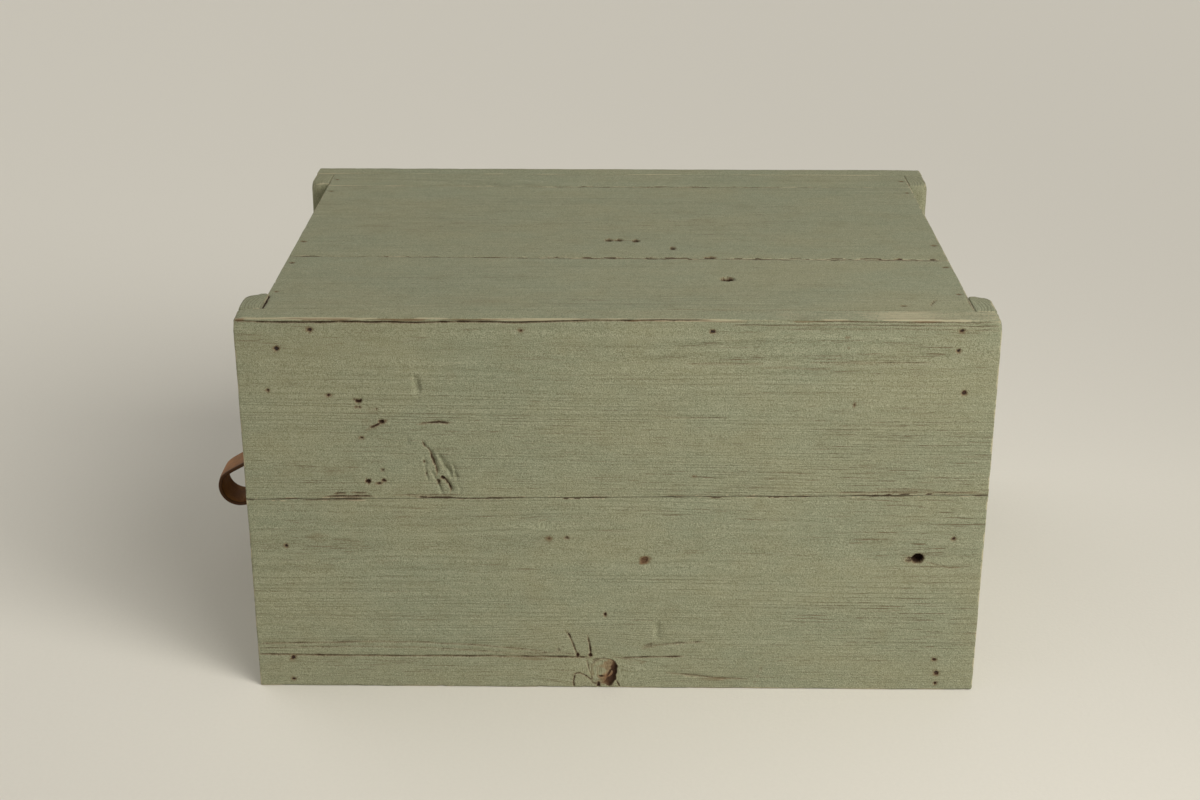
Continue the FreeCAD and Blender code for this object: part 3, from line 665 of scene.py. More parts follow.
def age_right_lower(timber):
    """Lower plank of the long side at +X: a knot at its foot, a long shake through it, a big nail hole."""
    marks = timber.marks
    knot_at, knot_size = (-6.8, 10.6), (7.3, 8.6)
    timber.knots.append((knot_at, knot_size))
    timber.knots.append(((-38.8, 101.0), (3.0, 2.5)))
    nail_pits(timber, "right_side_nails", X, 1)
    # lean_to puts the deep wall and the painted shade on its rim on the +Y side, where the wall faces away from the
    # light
    marks.knot(knot_at, knot_size, depth=0.45, wall=1.7, lean_to=-20)
    marks.pits((
        (-7.9, 7.3, 1.3, 0.5, 0.6, 1.0, 0.25, 0.2),
        (-3.7, 9.0, 0.6, 2.6, 0.7, 0.8, 0.25, 0.2, -28.0),
        (-9.6, 1.4, 0.9, 1.6, 1.0, 1.0, 0.4, 0.4),
        (-21.2, 20.8, 0.8, 1.3, 1.0, 1.0, 0.25, 0.2),
        (-14.0, 20.9, 1.0, 1.1, 1.0, 1.0, 0.25, 0.2),
        (18.4, 27.6, 2.4, 0.7, 0.35, 0.3, 0.25, 0.1, 22.0),
        (164.2, 82.1, 3.3, 2.9, 6.0, 1.0, 0.14, 0.3, 10.0),
        (159.9, 82.5, 1.6, 0.5, 0.8, 0.7, 0.5),
        (160.2, 80.9, 1.7, 0.5, 0.8, 0.7, 0.5),
        (15.6, 80.3, 1.9, 1.7, 0.7, 0.45, 0.5, 0.9),
        (15.0, 80.0, 0.8, 0.6, 0.8, 0.8, 0.5),
        (-5.8, 46.6, 0.7, 1.0, 1.0),
        (-26.8, 93.4, 1.0, 0.7, 0.9, 0.6),
        (-36.4, 93.0, 0.8, 0.6, 0.7, 0.45, 0.25, 0.7),
        (-31.6, 24.2, 0.9, 0.9, 0.5, 0.3, 0.25, 0.1),
    ))
    marks.dents((
        (-38.8, 101.2, 4.4, 3.4, 0.35),
        (-42.5, 74.0, 3.4, 3.0, 0.2),
    ))
    marks.splits((
        (((-201.0, 19.9), (-120.0, 19.5), (-60.0, 19.8), (-14.0, 19.3)), 0.26, 1.0, 0.85, 0.3, 0.0, 0.7),
        (((2.0, 19.2), (18.0, 19.9), (38.0, 20.4)), 0.3, 0.7, 0.9, 0.1),
        (((-199.0, 26.6), (-140.0, 28.6), (-110.0, 28.4), (-80.0, 27.0), (-50.0, 24.4), (-34.0, 21.4)),
         0.2, 0.6, 0.6, 0.25, 0.3, 1.8),
        (((-199.0, 23.8), (-150.0, 25.4), (-122.0, 25.4), (-90.0, 24.2), (-58.0, 21.8)),
         0.16, 0.4, 0.5, 0.25, 0.2, 1.2),
        (((-60.0, 21.6), (-30.0, 22.0), (-20.0, 21.6)), 0.14, 0.3, 0.4, 0.25, 0.2, 1.2),
        (((-28.4, 37.6), (-25.8, 33.6), (-23.4, 27.0), (-21.0, 19.8)), 0.42, 1.1, 0.9, 0.3, 0.12),
        (((-15.6, 34.0), (-14.6, 28.0), (-13.8, 20.4)), 0.36, 1.0, 0.9, 0.2, 0.1),
        (((-15.9, 18.0), (-15.2, 13.0), (-13.6, 8.0)), 0.16, 0.5, 0.6, 0.5),
        (((-23.0, -1.0), (-23.6, 4.0), (-22.6, 9.0)), 0.34, 0.9, 0.9, 0.15),
        (((-24.6, 8.6), (-20.0, 9.5), (-16.0, 7.4), (-12.0, 3.0)), 0.4, 1.0, 0.9, 0.15, 0.35),
        (((0.2, 5.0), (1.4, 3.0), (2.2, 0.4)), 0.3, 0.6, 0.7, 0.15),
        (((-2.0, 19.8), (4.0, 18.9), (10.0, 17.6)), 0.16, 0.35, 0.5, 0.25, 0.1),
        (((14.0, 25.2), (24.0, 27.6), (36.0, 28.8), (50.0, 29.6)), 0.2, 0.9, 0.55, 0.25, 0.5, 1.2),
        (((21.6, 43.0), (22.4, 36.0), (22.0, 29.6)), 0.3, 1.6, 0.0, 0.25, 0.5, 2.4),
        (((28.0, 10.0), (40.0, 8.6), (56.0, 6.8), (74.0, 6.0)), 0.2, 0.8, 0.6, 0.25, 0.5, 1.2),
        (((82.5, 17.5), (80.0, 9.0), (77.5, 2.5)), 0.14, 0.3, 0.35),
        (((168.0, 80.6), (174.0, 78.6), (182.0, 76.6), (189.0, 76.3)), 0.22, 0.5, 0.55, 0.25, 0.1),
        (((-42.0, 100.0), (-41.0, 104.0), (-37.4, 104.6)), 0.16, 0.3, 0.4),
    ))
    marks.patches("stain", (
        (-6.8, 4.6, 4.2, 3.4, 0.9),
        (15.0, 16.6, 2.6, 1.4, 0.9),
        (-44.0, 18.2, 18.0, 1.3, 0.6),
        (11.0, 17.8, 6.0, 1.2, 0.4),
        (-175.0, 112.0, 1.4, 6.0, 0.5),
        (-163.5, 93.0, 8.0, 4.0, 0.4),
        (-124.0, 79.5, 12.0, 5.0, 0.4),
        (-148.0, 32.0, 2.0, 1.8, 0.5),
        (-179.0, 19.0, 3.0, 2.0, 0.6),
        (178.0, 19.0, 4.0, 5.0, 0.25),
        (55.0, 6.0, 14.0, 1.6, 0.6),
    ))
    marks.patches("thin", (
        (160.0, 98.0, 56.0, 22.0, 1.0),
        (172.0, 76.0, 34.0, 12.0, 0.9),
        (150.0, 40.0, 60.0, 24.0, 0.7),
        (-20.0, 109.0, 180.0, 8.0, 0.4),
        (-160.0, 90.0, 40.0, 14.0, 0.4),
        (-120.0, 12.0, 90.0, 9.0, 0.35),
        (60.0, 12.0, 60.0, 10.0, 0.3),
    ))
    torn_joint(timber, ((-40.0, -4.0, 0.8), (30.0, 96.0, 0.8)), side=1)


def torn_joint(timber, tears, side, seam=0.3, soil_and_shade=0.78):
    """Splintered stretches along a plank's edge at a joint: each is (start, end, how far it reaches in). seam is how
    far the joint's broken dark line reaches in, in mm, and soil how dark it is."""
    marks = timber.marks
    front, back = (edges[1 if side > 0 else 0] for edges in edge_fit(timber))
    edge = front + (back - front) * timber.share(timber.points, timber.grain)
    away = (edge - marks.across) * side
    ragged = marks.rough((6.0, 1.2), 71)
    chips = marks.rough((2.4, 1.6), 73)
    torn = np.zeros(len(away))
    for start, end, reach in tears:
        over = rise(marks.along, start, start + 8.0) * fall(marks.along, end - 8.0, end)
        torn = np.maximum(torn, over)
        inside = over * fall(away, reach * (0.4 + 0.6 * ragged), reach * (1.0 + 0.6 * ragged) + 0.5)
        marks.depth += (0.55 + 0.45 * chips) * inside * marks.weight
        marks.mark("wear", (0.62 + 0.6 * chips) * inside)
        dark = over * rise(ragged - 0.6 * chips, 0.1, 0.45) * fall(away, reach * 0.6, reach * 1.2)
        marks.open(0.8 - 1.3 * dark, 0.85)
    broken = rise(marks.rough((11.0, 3.0), 77) + 0.25 * torn, -0.25, 0.45)
    gap = away + 0.3 - (0.3 + seam) * broken * (1.0 + 0.5 * ragged + 0.5 * chips)
    marks.open(gap, soil_and_shade * (0.4 + 0.6 * broken), rise(timber.facing, -0.1, 0.1))
    # pale chips along the joint: partly chipped paint and partly painted highlight on the joint's edge
    marks.mark("wear", 0.9 * rise(chips + 0.5 * ragged, 0.15, 0.55) * fall(np.abs(away - 0.9), 0.25, 0.7))


def age_right_top(timber):
    """Top plank at +X: one big nail hole, a scratch, and chipped edges along its joints."""
    marks = timber.marks
    nail_pits(timber, "top_nails", Z, 1)
    marks.pits((
        (60.6, 82.6, 3.3, 3.7, 4.0, 1.0, 0.2),
        (151.5, 127.4, 1.4, 0.8, 0.5, 0.5),
    ))
    marks.dents(((57.0, 83.6, 5.0, 4.2, 0.6),))
    marks.splits((
        (((165.4, 127.4), (167.4, 122.0), (170.4, 116.4)), 0.3, 0.8, 0.8, 0.25, 0.4, 0.9),
        (((20.0, 134.6), (70.0, 134.9), (120.0, 134.7), (165.0, 135.0)), 0.22, 0.4, 0.6, 0.4),
        (((-187.6, 111.0), (-187.3, 124.0), (-187.5, 138.0)), 1.2, 1.8, 1.0, 0.2),
        (((187.8, 109.0), (187.7, 124.0), (187.8, 139.0)), 0.5, 1.2, 0.95, 0.2),
    ))
    marks.patches("wear", (
        (56.6, 83.4, 1.5, 2.4, 0.75),
        (-56.2, 126.7, 0.8, 1.3, 0.8),
    ))
    marks.patches("stain", (
        (-70.0, 122.0, 20.0, 7.0, 0.3),
        (110.0, 96.0, 40.0, 10.0, 0.25),
    ))
    marks.patches("thin", (
        (0.0, 120.0, 190.0, 12.0, 0.45),
        (-90.0, 80.0, 60.0, 20.0, 0.35),
    ))
    torn_joint(timber, ((-190.0, -60.0, 1.0), (-62.0, 110.0, 1.8), (105.0, 189.0, 1.8)), side=-1, seam=0.16, soil_and_shade=0.7)


def age_middle_top(timber):
    """Middle top plank: a row of three holes and worn, pale edges."""
    marks = timber.marks
    nail_pits(timber, "top_nails", Z, 1)
    for place in (-5.4, 0.4, 10.2):
        marks.pit((place, 11.2 + 0.05 * place), (2.0, 2.4), 1.8, dark=0.75, ragged=0.4)
    marks.pits((
        (31.7, 26.5, 1.4, 2.6, 1.5, 0.7, 0.5),
        (52.7, 44.0, 2.8, 1.4, 2.0, 0.95, 0.4),
        (160.0, 45.2, 1.6, 1.2, 1.4, 0.8, 0.5),
    ))
    marks.dents(((2.0, 20.0, 6.0, 9.0, 0.3),))
    marks.splits(((((-9.0, 11.6), (2.0, 11.2), (14.0, 11.6)), 0.3, 0.5, 0.6),))
    marks.patches("stain", (
        (-110.0, -20.0, 50.0, 16.0, 0.3),
        (90.0, -60.0, 40.0, 14.0, 0.25),
    ))
    marks.patches("thin", ((0.0, -30.0, 200.0, 70.0, 0.35),))
    torn_joint(timber, ((-150.0, -70.0, 1.4), (-60.0, 60.0, 2.6), (56.0, 187.0, 3.2)), side=1, seam=0.16, soil_and_shade=0.7)
    torn_joint(timber, ((-60.0, 110.0, 1.8),), side=-1, seam=0.06, soil_and_shade=0.5)


def age_left_top(timber):
    """Left top plank: nails and one splintered joint."""
    nail_pits(timber, "top_nails", Z, 1)
    torn_joint(timber, ((-60.0, 110.0, 1.6),), side=1, seam=0.06, soil_and_shade=0.5)


def random_age(nails=(), *, knots, holes, cracks):
    """Marks strewn over a timber's outer face, the same each time for one timber. nails are groups of nails, as
    (node, axis, side), that the face is nailed through."""

    def age(timber):
        marks = timber.marks
        for group in nails:
            nail_pits(timber, *group)
        dice = np.random.default_rng(timber.seed)
        low = (timber.low[timber.grain], timber.low[timber.cross])
        high = (timber.high[timber.grain], timber.high[timber.cross])
        length, width = high[0] - low[0], high[1] - low[1]

        def place(inset):
            along = low[0] + inset + dice.random() * max(length - 2 * inset, 1.0)
            return along, low[1] + inset * 0.5 + dice.random() * max(width - inset, 1.0)

        for _ in range(knots):
            at = place(22.0)
            size = (4.5 + 3.5 * dice.random(), 4.0 + 3.0 * dice.random())
            timber.knots.append((at, size))
            if dice.random() < 0.6:
                marks.knot(at, size, depth=0.2, wall=0.25 + 0.3 * dice.random(), lean_to=360 * dice.random())
            else:
                marks.dent(at, size, 0.3)
                marks.patch("stain", at, size, 0.5)
        for _ in range(holes):
            size = 0.7 + 0.9 * dice.random() ** 2
            marks.pit(place(8.0), (size * 1.15, size), 1.1, ragged=0.35, halo=0.6)
        for _ in range(cracks):
            along, across = place(10.0)
            run = length * (0.12 + 0.3 * dice.random())
            start = along - run / 2
            drift = (dice.random() - 0.5) * 3.0
            points = ((start, across), (along, across + drift * 0.4), (start + run, across + drift))
            marks.split(points, 0.16 + 0.16 * dice.random(), 0.6 + 0.5 * dice.random(), lip=0.1, spread=0.8)
        for _ in range(4):
            size = (8.0 + 22.0 * dice.random(), 4.0 + 6.0 * dice.random())
            marks.patch("stain", place(10.0), size, 0.2 + 0.3 * dice.random())
            marks.patch("thin", place(10.0), (size[0] * 3.0, size[1] * 2.0), 0.4 + 0.4 * dice.random())
        marks.dent(place(15.0), (3.0, 5.0), 0.6)

    return age


# --- materials ----------------------------------------------------------------------------------------------------
class Number:
    """A number socket in a node tree. Python's operators on it add Math nodes."""

    def __init__(self, nodes, socket):
        self.nodes, self.socket = nodes, socket

    def math(self, operation, *values):
        """Add a Math node with an operation's values."""
        return self.nodes.add("ShaderNodeMath", {"operation": operation}, dict(enumerate(values))).number(0)

    def __add__(self, other):
        return self.math("ADD", self, other)

    def __radd__(self, other):
        return self.math("ADD", other, self)

    def __sub__(self, other):
        return self.math("SUBTRACT", self, other)

    def __rsub__(self, other):
        return self.math("SUBTRACT", other, self)

    def __mul__(self, other):
        return self.math("MULTIPLY", self, other)

    def __rmul__(self, other):
        return self.math("MULTIPLY", other, self)

    def __pow__(self, other):
        return self.math("POWER", self, other)

    def most(self, other):
        """The larger of the two."""
        return self.math("MAXIMUM", self, other)

    def least(self, other):
        """The smaller of the two."""
        return self.math("MINIMUM", self, other)

    def wave(self):
        """The cosine of a number of turns, brought to 0..1."""
        return self.math("COSINE", self * (2 * math.pi)) * 0.5 + 0.5

    def rise(self, low, high):
        """Smoothstep from low to high."""
        settings = {"interpolation_type": "SMOOTHSTEP"}
        sockets = {"Value": self, "From Min": low, "From Max": high, "To Min": 0.0, "To Max": 1.0}
        return self.nodes.add("ShaderNodeMapRange", settings, sockets).number(0)

    def fall(self, low, high):
        """1 at low and below, 0 at high and above."""
        return 1.0 - self.rise(low, high)


class Added:
    """A node that was added, with its outputs by name or number."""

    def __init__(self, nodes, node):
        self.nodes, self.node = nodes, node

    def output(self, key):
        """An output that carries a colour, a vector or a shader."""
        return self.node.outputs[key]

    def number(self, key):
        """An output that carries a number, ready for maths."""
        return Number(self.nodes, self.node.outputs[key])


def rgba(colour):
    """A colour's three numbers with full opacity; a socket's link stays as it is."""
    return colour if isinstance(colour, bpy.types.NodeSocket) else (*colour, 1.0)


class Nodes:
    """The node tree of a material, or of the world that is given."""

    def __init__(self, name, owner=None):
        self.owner = owner or bpy.data.materials.new(name)
        self.owner.use_nodes = True
        self.tree = self.owner.node_tree
        self.tree.nodes.clear()

    def add(self, kind, settings=None, sockets=None):
        """Add a node of a type. Its settings are set first, and then each socket gets its value or link."""
        node = self.tree.nodes.new(kind)
        for key, value in (settings or {}).items():
            setattr(node, key, value)
        for key, value in (sockets or {}).items():
            socket = node.inputs[key]
            if isinstance(value, Number):
                self.tree.links.new(value.socket, socket)
            elif isinstance(value, bpy.types.NodeSocket):
                self.tree.links.new(value, socket)
            else:
                socket.default_value = value
        return Added(self, node)

    def mix(self, share, first, second):
        """Go from the first colour to the second as share goes from 0 to 1."""
        sockets = {0: share, 6: rgba(first), 7: rgba(second)}
        return self.add("ShaderNodeMix", {"data_type": "RGBA", "clamp_factor": True}, sockets).output(2)

    def attribute(self, name):
        """The node that reads one of the piece's own attributes."""
        return self.add("ShaderNodeAttribute", {"attribute_name": name})

    def split(self, vector):
        """The three numbers of a vector."""
        parts = self.add("ShaderNodeSeparateXYZ", None, {0: vector})
        return [parts.number(axis) for axis in (X, Y, Z)]

    def place(self):
        """Object coordinates, in metres."""
        return self.add("ShaderNodeTexCoord").output("Object")

    def noise(self, vector, scale, detail, roughness, distortion=0.0):
        """A noise in 0..1 with one scale, or with a scale for each axis."""
        if isinstance(scale, tuple):
            stretch = {0: vector, 1: scale}
            vector, scale = self.add("ShaderNodeVectorMath", {"operation": "MULTIPLY"}, stretch).output(0), 1.0
        sockets = {
            "Vector": vector, "Scale": scale, "Detail": detail, "Roughness": roughness, "Distortion": distortion,
        }
        return self.add("ShaderNodeTexNoise", {"noise_dimensions": "3D"}, sockets).number(0)

    def surface(self, colour, roughness, height, reach, strength, constants=None):
        """Finish with a Principled surface. height feeds a Bump node; constants go on the shader's own sockets."""
        bump = self.add("ShaderNodeBump", None, {"Strength": strength, "Distance": reach, "Height": height})
        sockets = {"Base Color": colour, "Roughness": roughness, "Normal": bump.output(0), **(constants or {})}
        shader = self.add("ShaderNodeBsdfPrincipled", None, sockets)
        self.add("ShaderNodeOutputMaterial", None, {"Surface": shader.output(0)})
        return self.owner


class TimberFields:
    """What a timber's material reads at each point: its attributes, and noises stretched along the grain, whose
    scales are for mm along it, for rings and for mm across it."""

    def __init__(self, nodes):
        wood = nodes.attribute("wood").output("Vector")
        age = nodes.attribute("age")
        parts = nodes.add("ShaderNodeSeparateColor", None, {0: age.output("Color")})
        self.wear, self.stain, self.end = (parts.number(part) for part in (0, 1, 2))
        self.thin = age.number("Alpha")
        self.gap, self.gloom, self.knotty = nodes.split(nodes.attribute("holes").output("Vector"))
        ring = nodes.split(wood)[1]
        self.fibre = nodes.noise(wood, (0.06, 3.2, 1.2), 4.0, 0.65)
        self.hair = nodes.noise(wood, (0.16, 2.6, 1.6), 3.0, 0.6)
        stroke = nodes.noise(wood, (0.05, 1.5, 1.5), 3.0, 0.62)
        self.streak = nodes.noise(wood, (0.014, 0.5, 0.25), 3.0, 0.55)
        self.bold = nodes.noise(wood, (0.007, 0.11, 0.03), 2.0, 0.5).rise(0.36, 0.66)
        spacing = nodes.noise(wood, (0.003, 0.6, 0.0), 1.0, 0.5)
        self.cloud = nodes.noise(wood, (0.016, 0.02, 0.03), 4.0, 0.6)
        self.blotch = nodes.noise(wood, (0.06, 0.04, 0.09), 4.0, 0.65, 0.4)
        self.grit = nodes.noise(wood, (0.8, 0.4, 0.9), 4.0, 0.8)
        self.speck = nodes.noise(wood, (1.7, 0.9, 1.9), 2.0, 0.7)
        # turns goes from 0 to 1 and back over each ring, and late is its dense, dark part
        self.turns = (ring + (spacing - 0.5) * 2.6 + (self.streak - 0.5) * 0.6).wave()
        self.late = self.turns ** 2.5
        dash = stroke.rise(0.55, 0.61) * (0.35 + self.hair.rise(0.42, 0.54) * 0.65)
        self.dash = dash * (0.35 + self.turns.rise(0.3, 0.8) * 0.65)


def bare_wood(nodes, f, look):
    """Colour of the wood itself: late wood darkens each ring, age greys it, stain and end grain darken it."""
    colour = nodes.mix(f.late * 0.6 + (f.fibre - 0.5) * 0.8, look.wood_light, look.wood_dark)
    colour = nodes.mix(f.cloud.rise(0.35, 0.7) * 0.35, colour, look.wood_grey)
    colour = nodes.mix(f.stain.rise(0.2, 0.95) * 0.7, colour, look.knot_brown)
    return nodes.mix(f.end * (0.15 + f.late * 0.6), colour, look.wood_dark)


def paint_tint(nodes, f, look):
    """Colour of the paint: cool or warm, paler where it is thick, thin in blotches, sunk into the grain, stained,
    with painted highlights on its raised specks and ring crests and painted shade in its fine pits, where the bump
    draws the same relief.
    """
    line = f.turns.rise(0.55, 0.95) * f.hair.rise(0.4, 0.56)
    crest = f.turns.fall(0.04, 0.4) * f.hair.rise(0.36, 0.56)
    tint = nodes.mix(f.cloud.rise(0.3, 0.72), look.paint_cool, look.paint_warm)
    # pale on raised specks, grit and ring crests: partly thicker paint and partly painted highlight of the relief
    # that the bump also draws
    pale = 0.24 + (f.fibre - 0.5) * 1.5 + (f.speck - 0.5) * 2.8 + (f.grit - 0.5) * 1.9 + crest * (0.04 + f.bold * 0.2)
    tint = nodes.mix(pale, tint, look.paint_pale_and_highlight)
    tint = nodes.mix(f.blotch.rise(0.48, 0.72) * 0.24 + f.thin * 0.1, tint, look.paint_thin)
    tint = nodes.mix(line * (0.06 + f.bold * 0.2) + f.end * f.late * 0.55, tint, look.sunk_paint_and_pit_shade)
    # painted shade: darker in the low specks, the fine pits that the bump also draws
    tint = nodes.mix(f.speck.fall(0.36, 0.5) * 0.6, tint, look.sunk_paint_and_pit_shade)
    tint = nodes.mix(f.stain.rise(0.05, 0.6) * (0.3 + f.grit * 0.5), tint, look.stain_brown)
    return nodes.mix(f.stain.rise(0.5, 0.95) * 0.6, tint, look.knot_brown)


def painted_wood(nodes, f, look):
    """Colour, roughness, share of paint and strength of the grain's lines, where paint covers the wood: it goes at
    worn places and end grain, and bare grain and knots show through it."""
    bare = nodes.mix(0.74 - f.stain * 0.55, bare_wood(nodes, f, look), look.rubbed_edge)
    tint = paint_tint(nodes, f, look)
    rubbed = f.wear + (f.grit - 0.5) * 0.5 + (f.fibre - 0.5) * 0.5
    cover = (rubbed + f.end * (0.34 - f.late * 0.3)).fall(0.4, 0.68)
    colour = nodes.mix(cover, bare, tint)
    shows = (0.2 + f.thin * 1.9 + f.streak.rise(0.5, 0.68) * 0.4 + f.wear * 0.4).least(1.0)
    lines = f.dash * shows * look.grain_show
    colour = nodes.mix(lines, colour, look.grain_brown)
    skin = nodes.mix(f.knotty.rise(0.62, 0.95) * (0.3 + f.grit), look.knot_face, look.knot_brown)
    skin = nodes.mix(f.hair.rise(0.5, 0.62) * 0.5, skin, look.grain_brown)
    colour = nodes.mix(f.knotty.rise(0.15, 0.5) * (0.55 + f.blotch * 0.6), colour, skin)
    return colour, 0.88 - cover * 0.08 + (f.grit - 0.5) * 0.12, cover, lines


def unpainted_wood(nodes, f, look):
    """Colour, roughness, share of paint and strength of the grain's lines, where the wood was never painted."""
    lines = f.dash * 0.5
    colour = nodes.mix(lines, bare_wood(nodes, f, look), look.wood_dark)
    colour = nodes.mix(f.knotty * 0.85, colour, look.knot_brown)
    return colour, 0.84 + (f.grit - 0.5) * 0.14, 0.0, lines


def timber_material(name, look, painted):
    """Old softwood, with or without thin paint. Its attributes are wood (along, ring, across), age (wear, stain, end,
    bare grain) and holes (distance in mm, darkness, knot). Holes and cracks have a brown halo, and inside them a
    near-black colour that is partly dirt and partly painted shade of the hollow."""
    nodes = Nodes(name)
    f = TimberFields(nodes)
    colour, roughness, cover, lines = (painted_wood if painted else unpainted_wood)(nodes, f, look)
    edge = f.gap + (f.grit - 0.5) * 0.5 + (f.speck - 0.5) * 0.25
    colour = nodes.mix(f.gap.fall(-0.1, 0.75) * f.gloom * 0.5, colour, look.knot_brown)
    # near-black inside holes and cracks: partly dirt and partly painted shade of the hollow
    colour = nodes.mix(edge.fall(-0.16, 0.2) * f.gloom * 0.97, colour, look.soil_and_shade)
    height = f.grit * 1.3 + f.speck * 1.2 + f.hair * 0.4 + f.fibre * 0.3
    height = height - f.late * (0.14 + f.bold * 0.32) - lines * 0.5
    height = height - edge.fall(-0.35, 0.3) * 1.3 + cover * 0.3 + f.knotty * f.grit * 0.9
    return nodes.surface(colour, roughness, height, 0.00032, 1.0, {"Specular IOR Level": 0.18})


def iron_material(look):
    """Old iron: nearly black scale with brown rust over it."""
    nodes = Nodes("rusted_iron")
    place = nodes.place()
    rust = nodes.noise(place, 900.0, 4.0, 0.65)
    pits = nodes.noise(place, 2600.0, 2.0, 0.5)
    colour = nodes.mix(rust.rise(0.42, 0.62), look.iron, look.rust)
    return nodes.surface(colour, 0.62 + rust * 0.3, rust * 0.6 + pits * 0.4, 0.0001, 0.8, {"Metallic": 0.55})


def brass_material(look):
    """Dull brass, browner and rougher in its tarnish, with fine scratches."""
    nodes = Nodes("dull_brass")
    place = nodes.place()
    tarnish = nodes.noise(place, 420.0, 4.0, 0.6)
    scratch = nodes.noise(place, (9000.0, 700.0, 1400.0), 2.0, 0.5)
    colour = nodes.mix(tarnish.rise(0.4, 0.68), look.brass, look.tarnish)
    roughness = 0.3 + tarnish * 0.28 + scratch * 0.1
    return nodes.surface(colour, roughness, scratch * 0.5 + tarnish * 0.5, 0.00004, 0.6, {"Metallic": 1.0})


def leather_material(look):
    """Strap leather: a pebbled grain side, darker and glossier at its burnished edges. It reads strap (place along
    it, place across it in mm, nearness to an edge)."""
    nodes = Nodes("strap_leather")
    strap = nodes.attribute("strap").output("Vector")
    edge = nodes.split(strap)[2]
    place = nodes.place()
    pebble = nodes.add("ShaderNodeTexVoronoi", {"feature": "F1"}, {"Vector": place, "Scale": 950.0}).number(0)
    pores = nodes.noise(place, 2400.0, 2.0, 0.5)
    cloud = nodes.noise(place, 60.0, 4.0, 0.6)
    crease = nodes.noise(strap, (0.8, 0.06, 0.0), 4.0, 0.65)
    colour = nodes.mix(cloud.rise(0.3, 0.72), look.leather_light, look.leather_dark)
    colour = nodes.mix(pebble.rise(0.35, 0.8) * 0.35, colour, look.leather_dark)
    colour = nodes.mix(crease.rise(0.58, 0.72) * 0.3, colour, look.leather_edge)
    colour = nodes.mix(edge.rise(0.25, 0.85), colour, look.leather_edge)
    roughness = 0.66 + (pores - 0.5) * 0.2 - edge * 0.14
    height = 0.7 - pebble * 0.5 + pores * 0.2 - crease.rise(0.56, 0.7) * 0.5
    return nodes.surface(colour, roughness, height, 0.00015, 0.8, {"Specular IOR Level": 0.14})


# --- what a user may change ---------------------------------------------------------------------------------------
def colour_setting(name, description, default):
    """A colour that a user may change, in linear light."""
    return bpy.props.FloatVectorProperty(
        name=name, description=description, default=default, size=3, min=0.0, max=1.0, subtype="COLOR"
    )


def number_setting(name, description, default, **more):
    """A number that a user may change, with its unit, subtype or limits."""
    return bpy.props.FloatProperty(name=name, description=description, default=default, **more)


class DrawerBoxLook(bpy.types.PropertyGroup):
    """Colours and finishes of the drawer box."""

    paint_cool: colour_setting("Cool paint", "Paint where it is greener", (0.212, 0.228, 0.147))
    paint_warm: colour_setting("Warm paint", "Paint where it is yellower", (0.240, 0.235, 0.140))
    # pale paint, also used as painted highlight on raised specks and ring crests
    paint_pale_and_highlight: colour_setting("Pale paint", "Thicker paint along the fibres", (0.338, 0.340, 0.234))
    paint_thin: colour_setting("Thin paint", "Paint that lets the wood through", (0.196, 0.180, 0.100))
    stain_brown: colour_setting("Stain", "Brown stain in the paint", (0.140, 0.098, 0.048))
    # paint sunk into the grain, also used as painted shade in fine pits
    sunk_paint_and_pit_shade: colour_setting("Grain shade", "Paint that has sunk into the grain", (0.130, 0.128, 0.074))
    grain_brown: colour_setting("Grain lines", "Bare lines of the grain", (0.120, 0.070, 0.038))
    # near-black colour inside holes and cracks: partly dirt and partly painted shade
    soil_and_shade: colour_setting("Soil", "Dirt in holes and cracks", (0.032, 0.015, 0.008))
    rubbed_edge: colour_setting("Rubbed edge", "Wood where the paint is rubbed off", (0.398, 0.374, 0.250))
    wood_light: colour_setting("Light wood", "Early wood", (0.345, 0.290, 0.180))
    wood_dark: colour_setting("Dark wood", "Late wood and end grain", (0.225, 0.155, 0.085))
    wood_grey: colour_setting("Grey wood", "Wood gone grey with age", (0.240, 0.205, 0.145))
    knot_face: colour_setting("Knot face", "Knots under worn paint", (0.235, 0.168, 0.092))
    knot_brown: colour_setting("Knot", "Bare knots and tannin stains", (0.150, 0.062, 0.026))
    iron: colour_setting("Iron", "Scale on the nails", (0.022, 0.019, 0.017))
    rust: colour_setting("Rust", "Rust on the nails", (0.075, 0.032, 0.016))
    brass: colour_setting("Brass", "Brass where it is rubbed", (0.480, 0.340, 0.130))
    tarnish: colour_setting("Tarnish", "Brass where it is dull", (0.210, 0.140, 0.060))
    leather_light: colour_setting("Light leather", "Leather where it is rubbed", (0.310, 0.132, 0.034))
    leather_dark: colour_setting("Dark leather", "Leather in its pores", (0.170, 0.070, 0.021))
    leather_edge: colour_setting("Leather edge", "Burnished edges and creases", (0.080, 0.034, 0.012))
    grain_show: number_setting("Grain", "How strongly bare grain shows in the paint", 0.74, min=0, max=1)


class DrawerBoxStage(bpy.types.PropertyGroup):
    """Camera, floor and light."""

    lens: number_setting("Lens", "Focal length of the camera on a 36 mm sensor", 55.95, unit="CAMERA")
    camera_place: bpy.props.FloatVectorProperty(
        name="Camera place", description="Where the camera stands", default=(1.0618, 0.0033, 0.5422),
        size=3, subtype="TRANSLATION", unit="LENGTH",
    )
    camera_pitch: number_setting(
        "Camera pitch", "How far the camera looks down", math.radians(21.96), subtype="ANGLE"
    )
    camera_turn: number_setting(
        "Camera turn", "How far the camera turns from square to the side", math.radians(-0.754), subtype="ANGLE"
    )
    floor_colour: colour_setting("Floor", "Colour of the floor", (0.72, 0.69, 0.62))
    key_strength: number_setting("Key light", "Strength of the key light, W per square metre", 1.7, min=0)
    window_power: number_setting("Window light", "Power of the nearer light, W", 0.95, min=0)
    fill_strength: number_setting("Fill light", "Strength of the fill light, W per square metre", 0.9, min=0)
    ambient: number_setting("Ambient light", "Strength of the light from all round", 0.38, min=0, max=2)


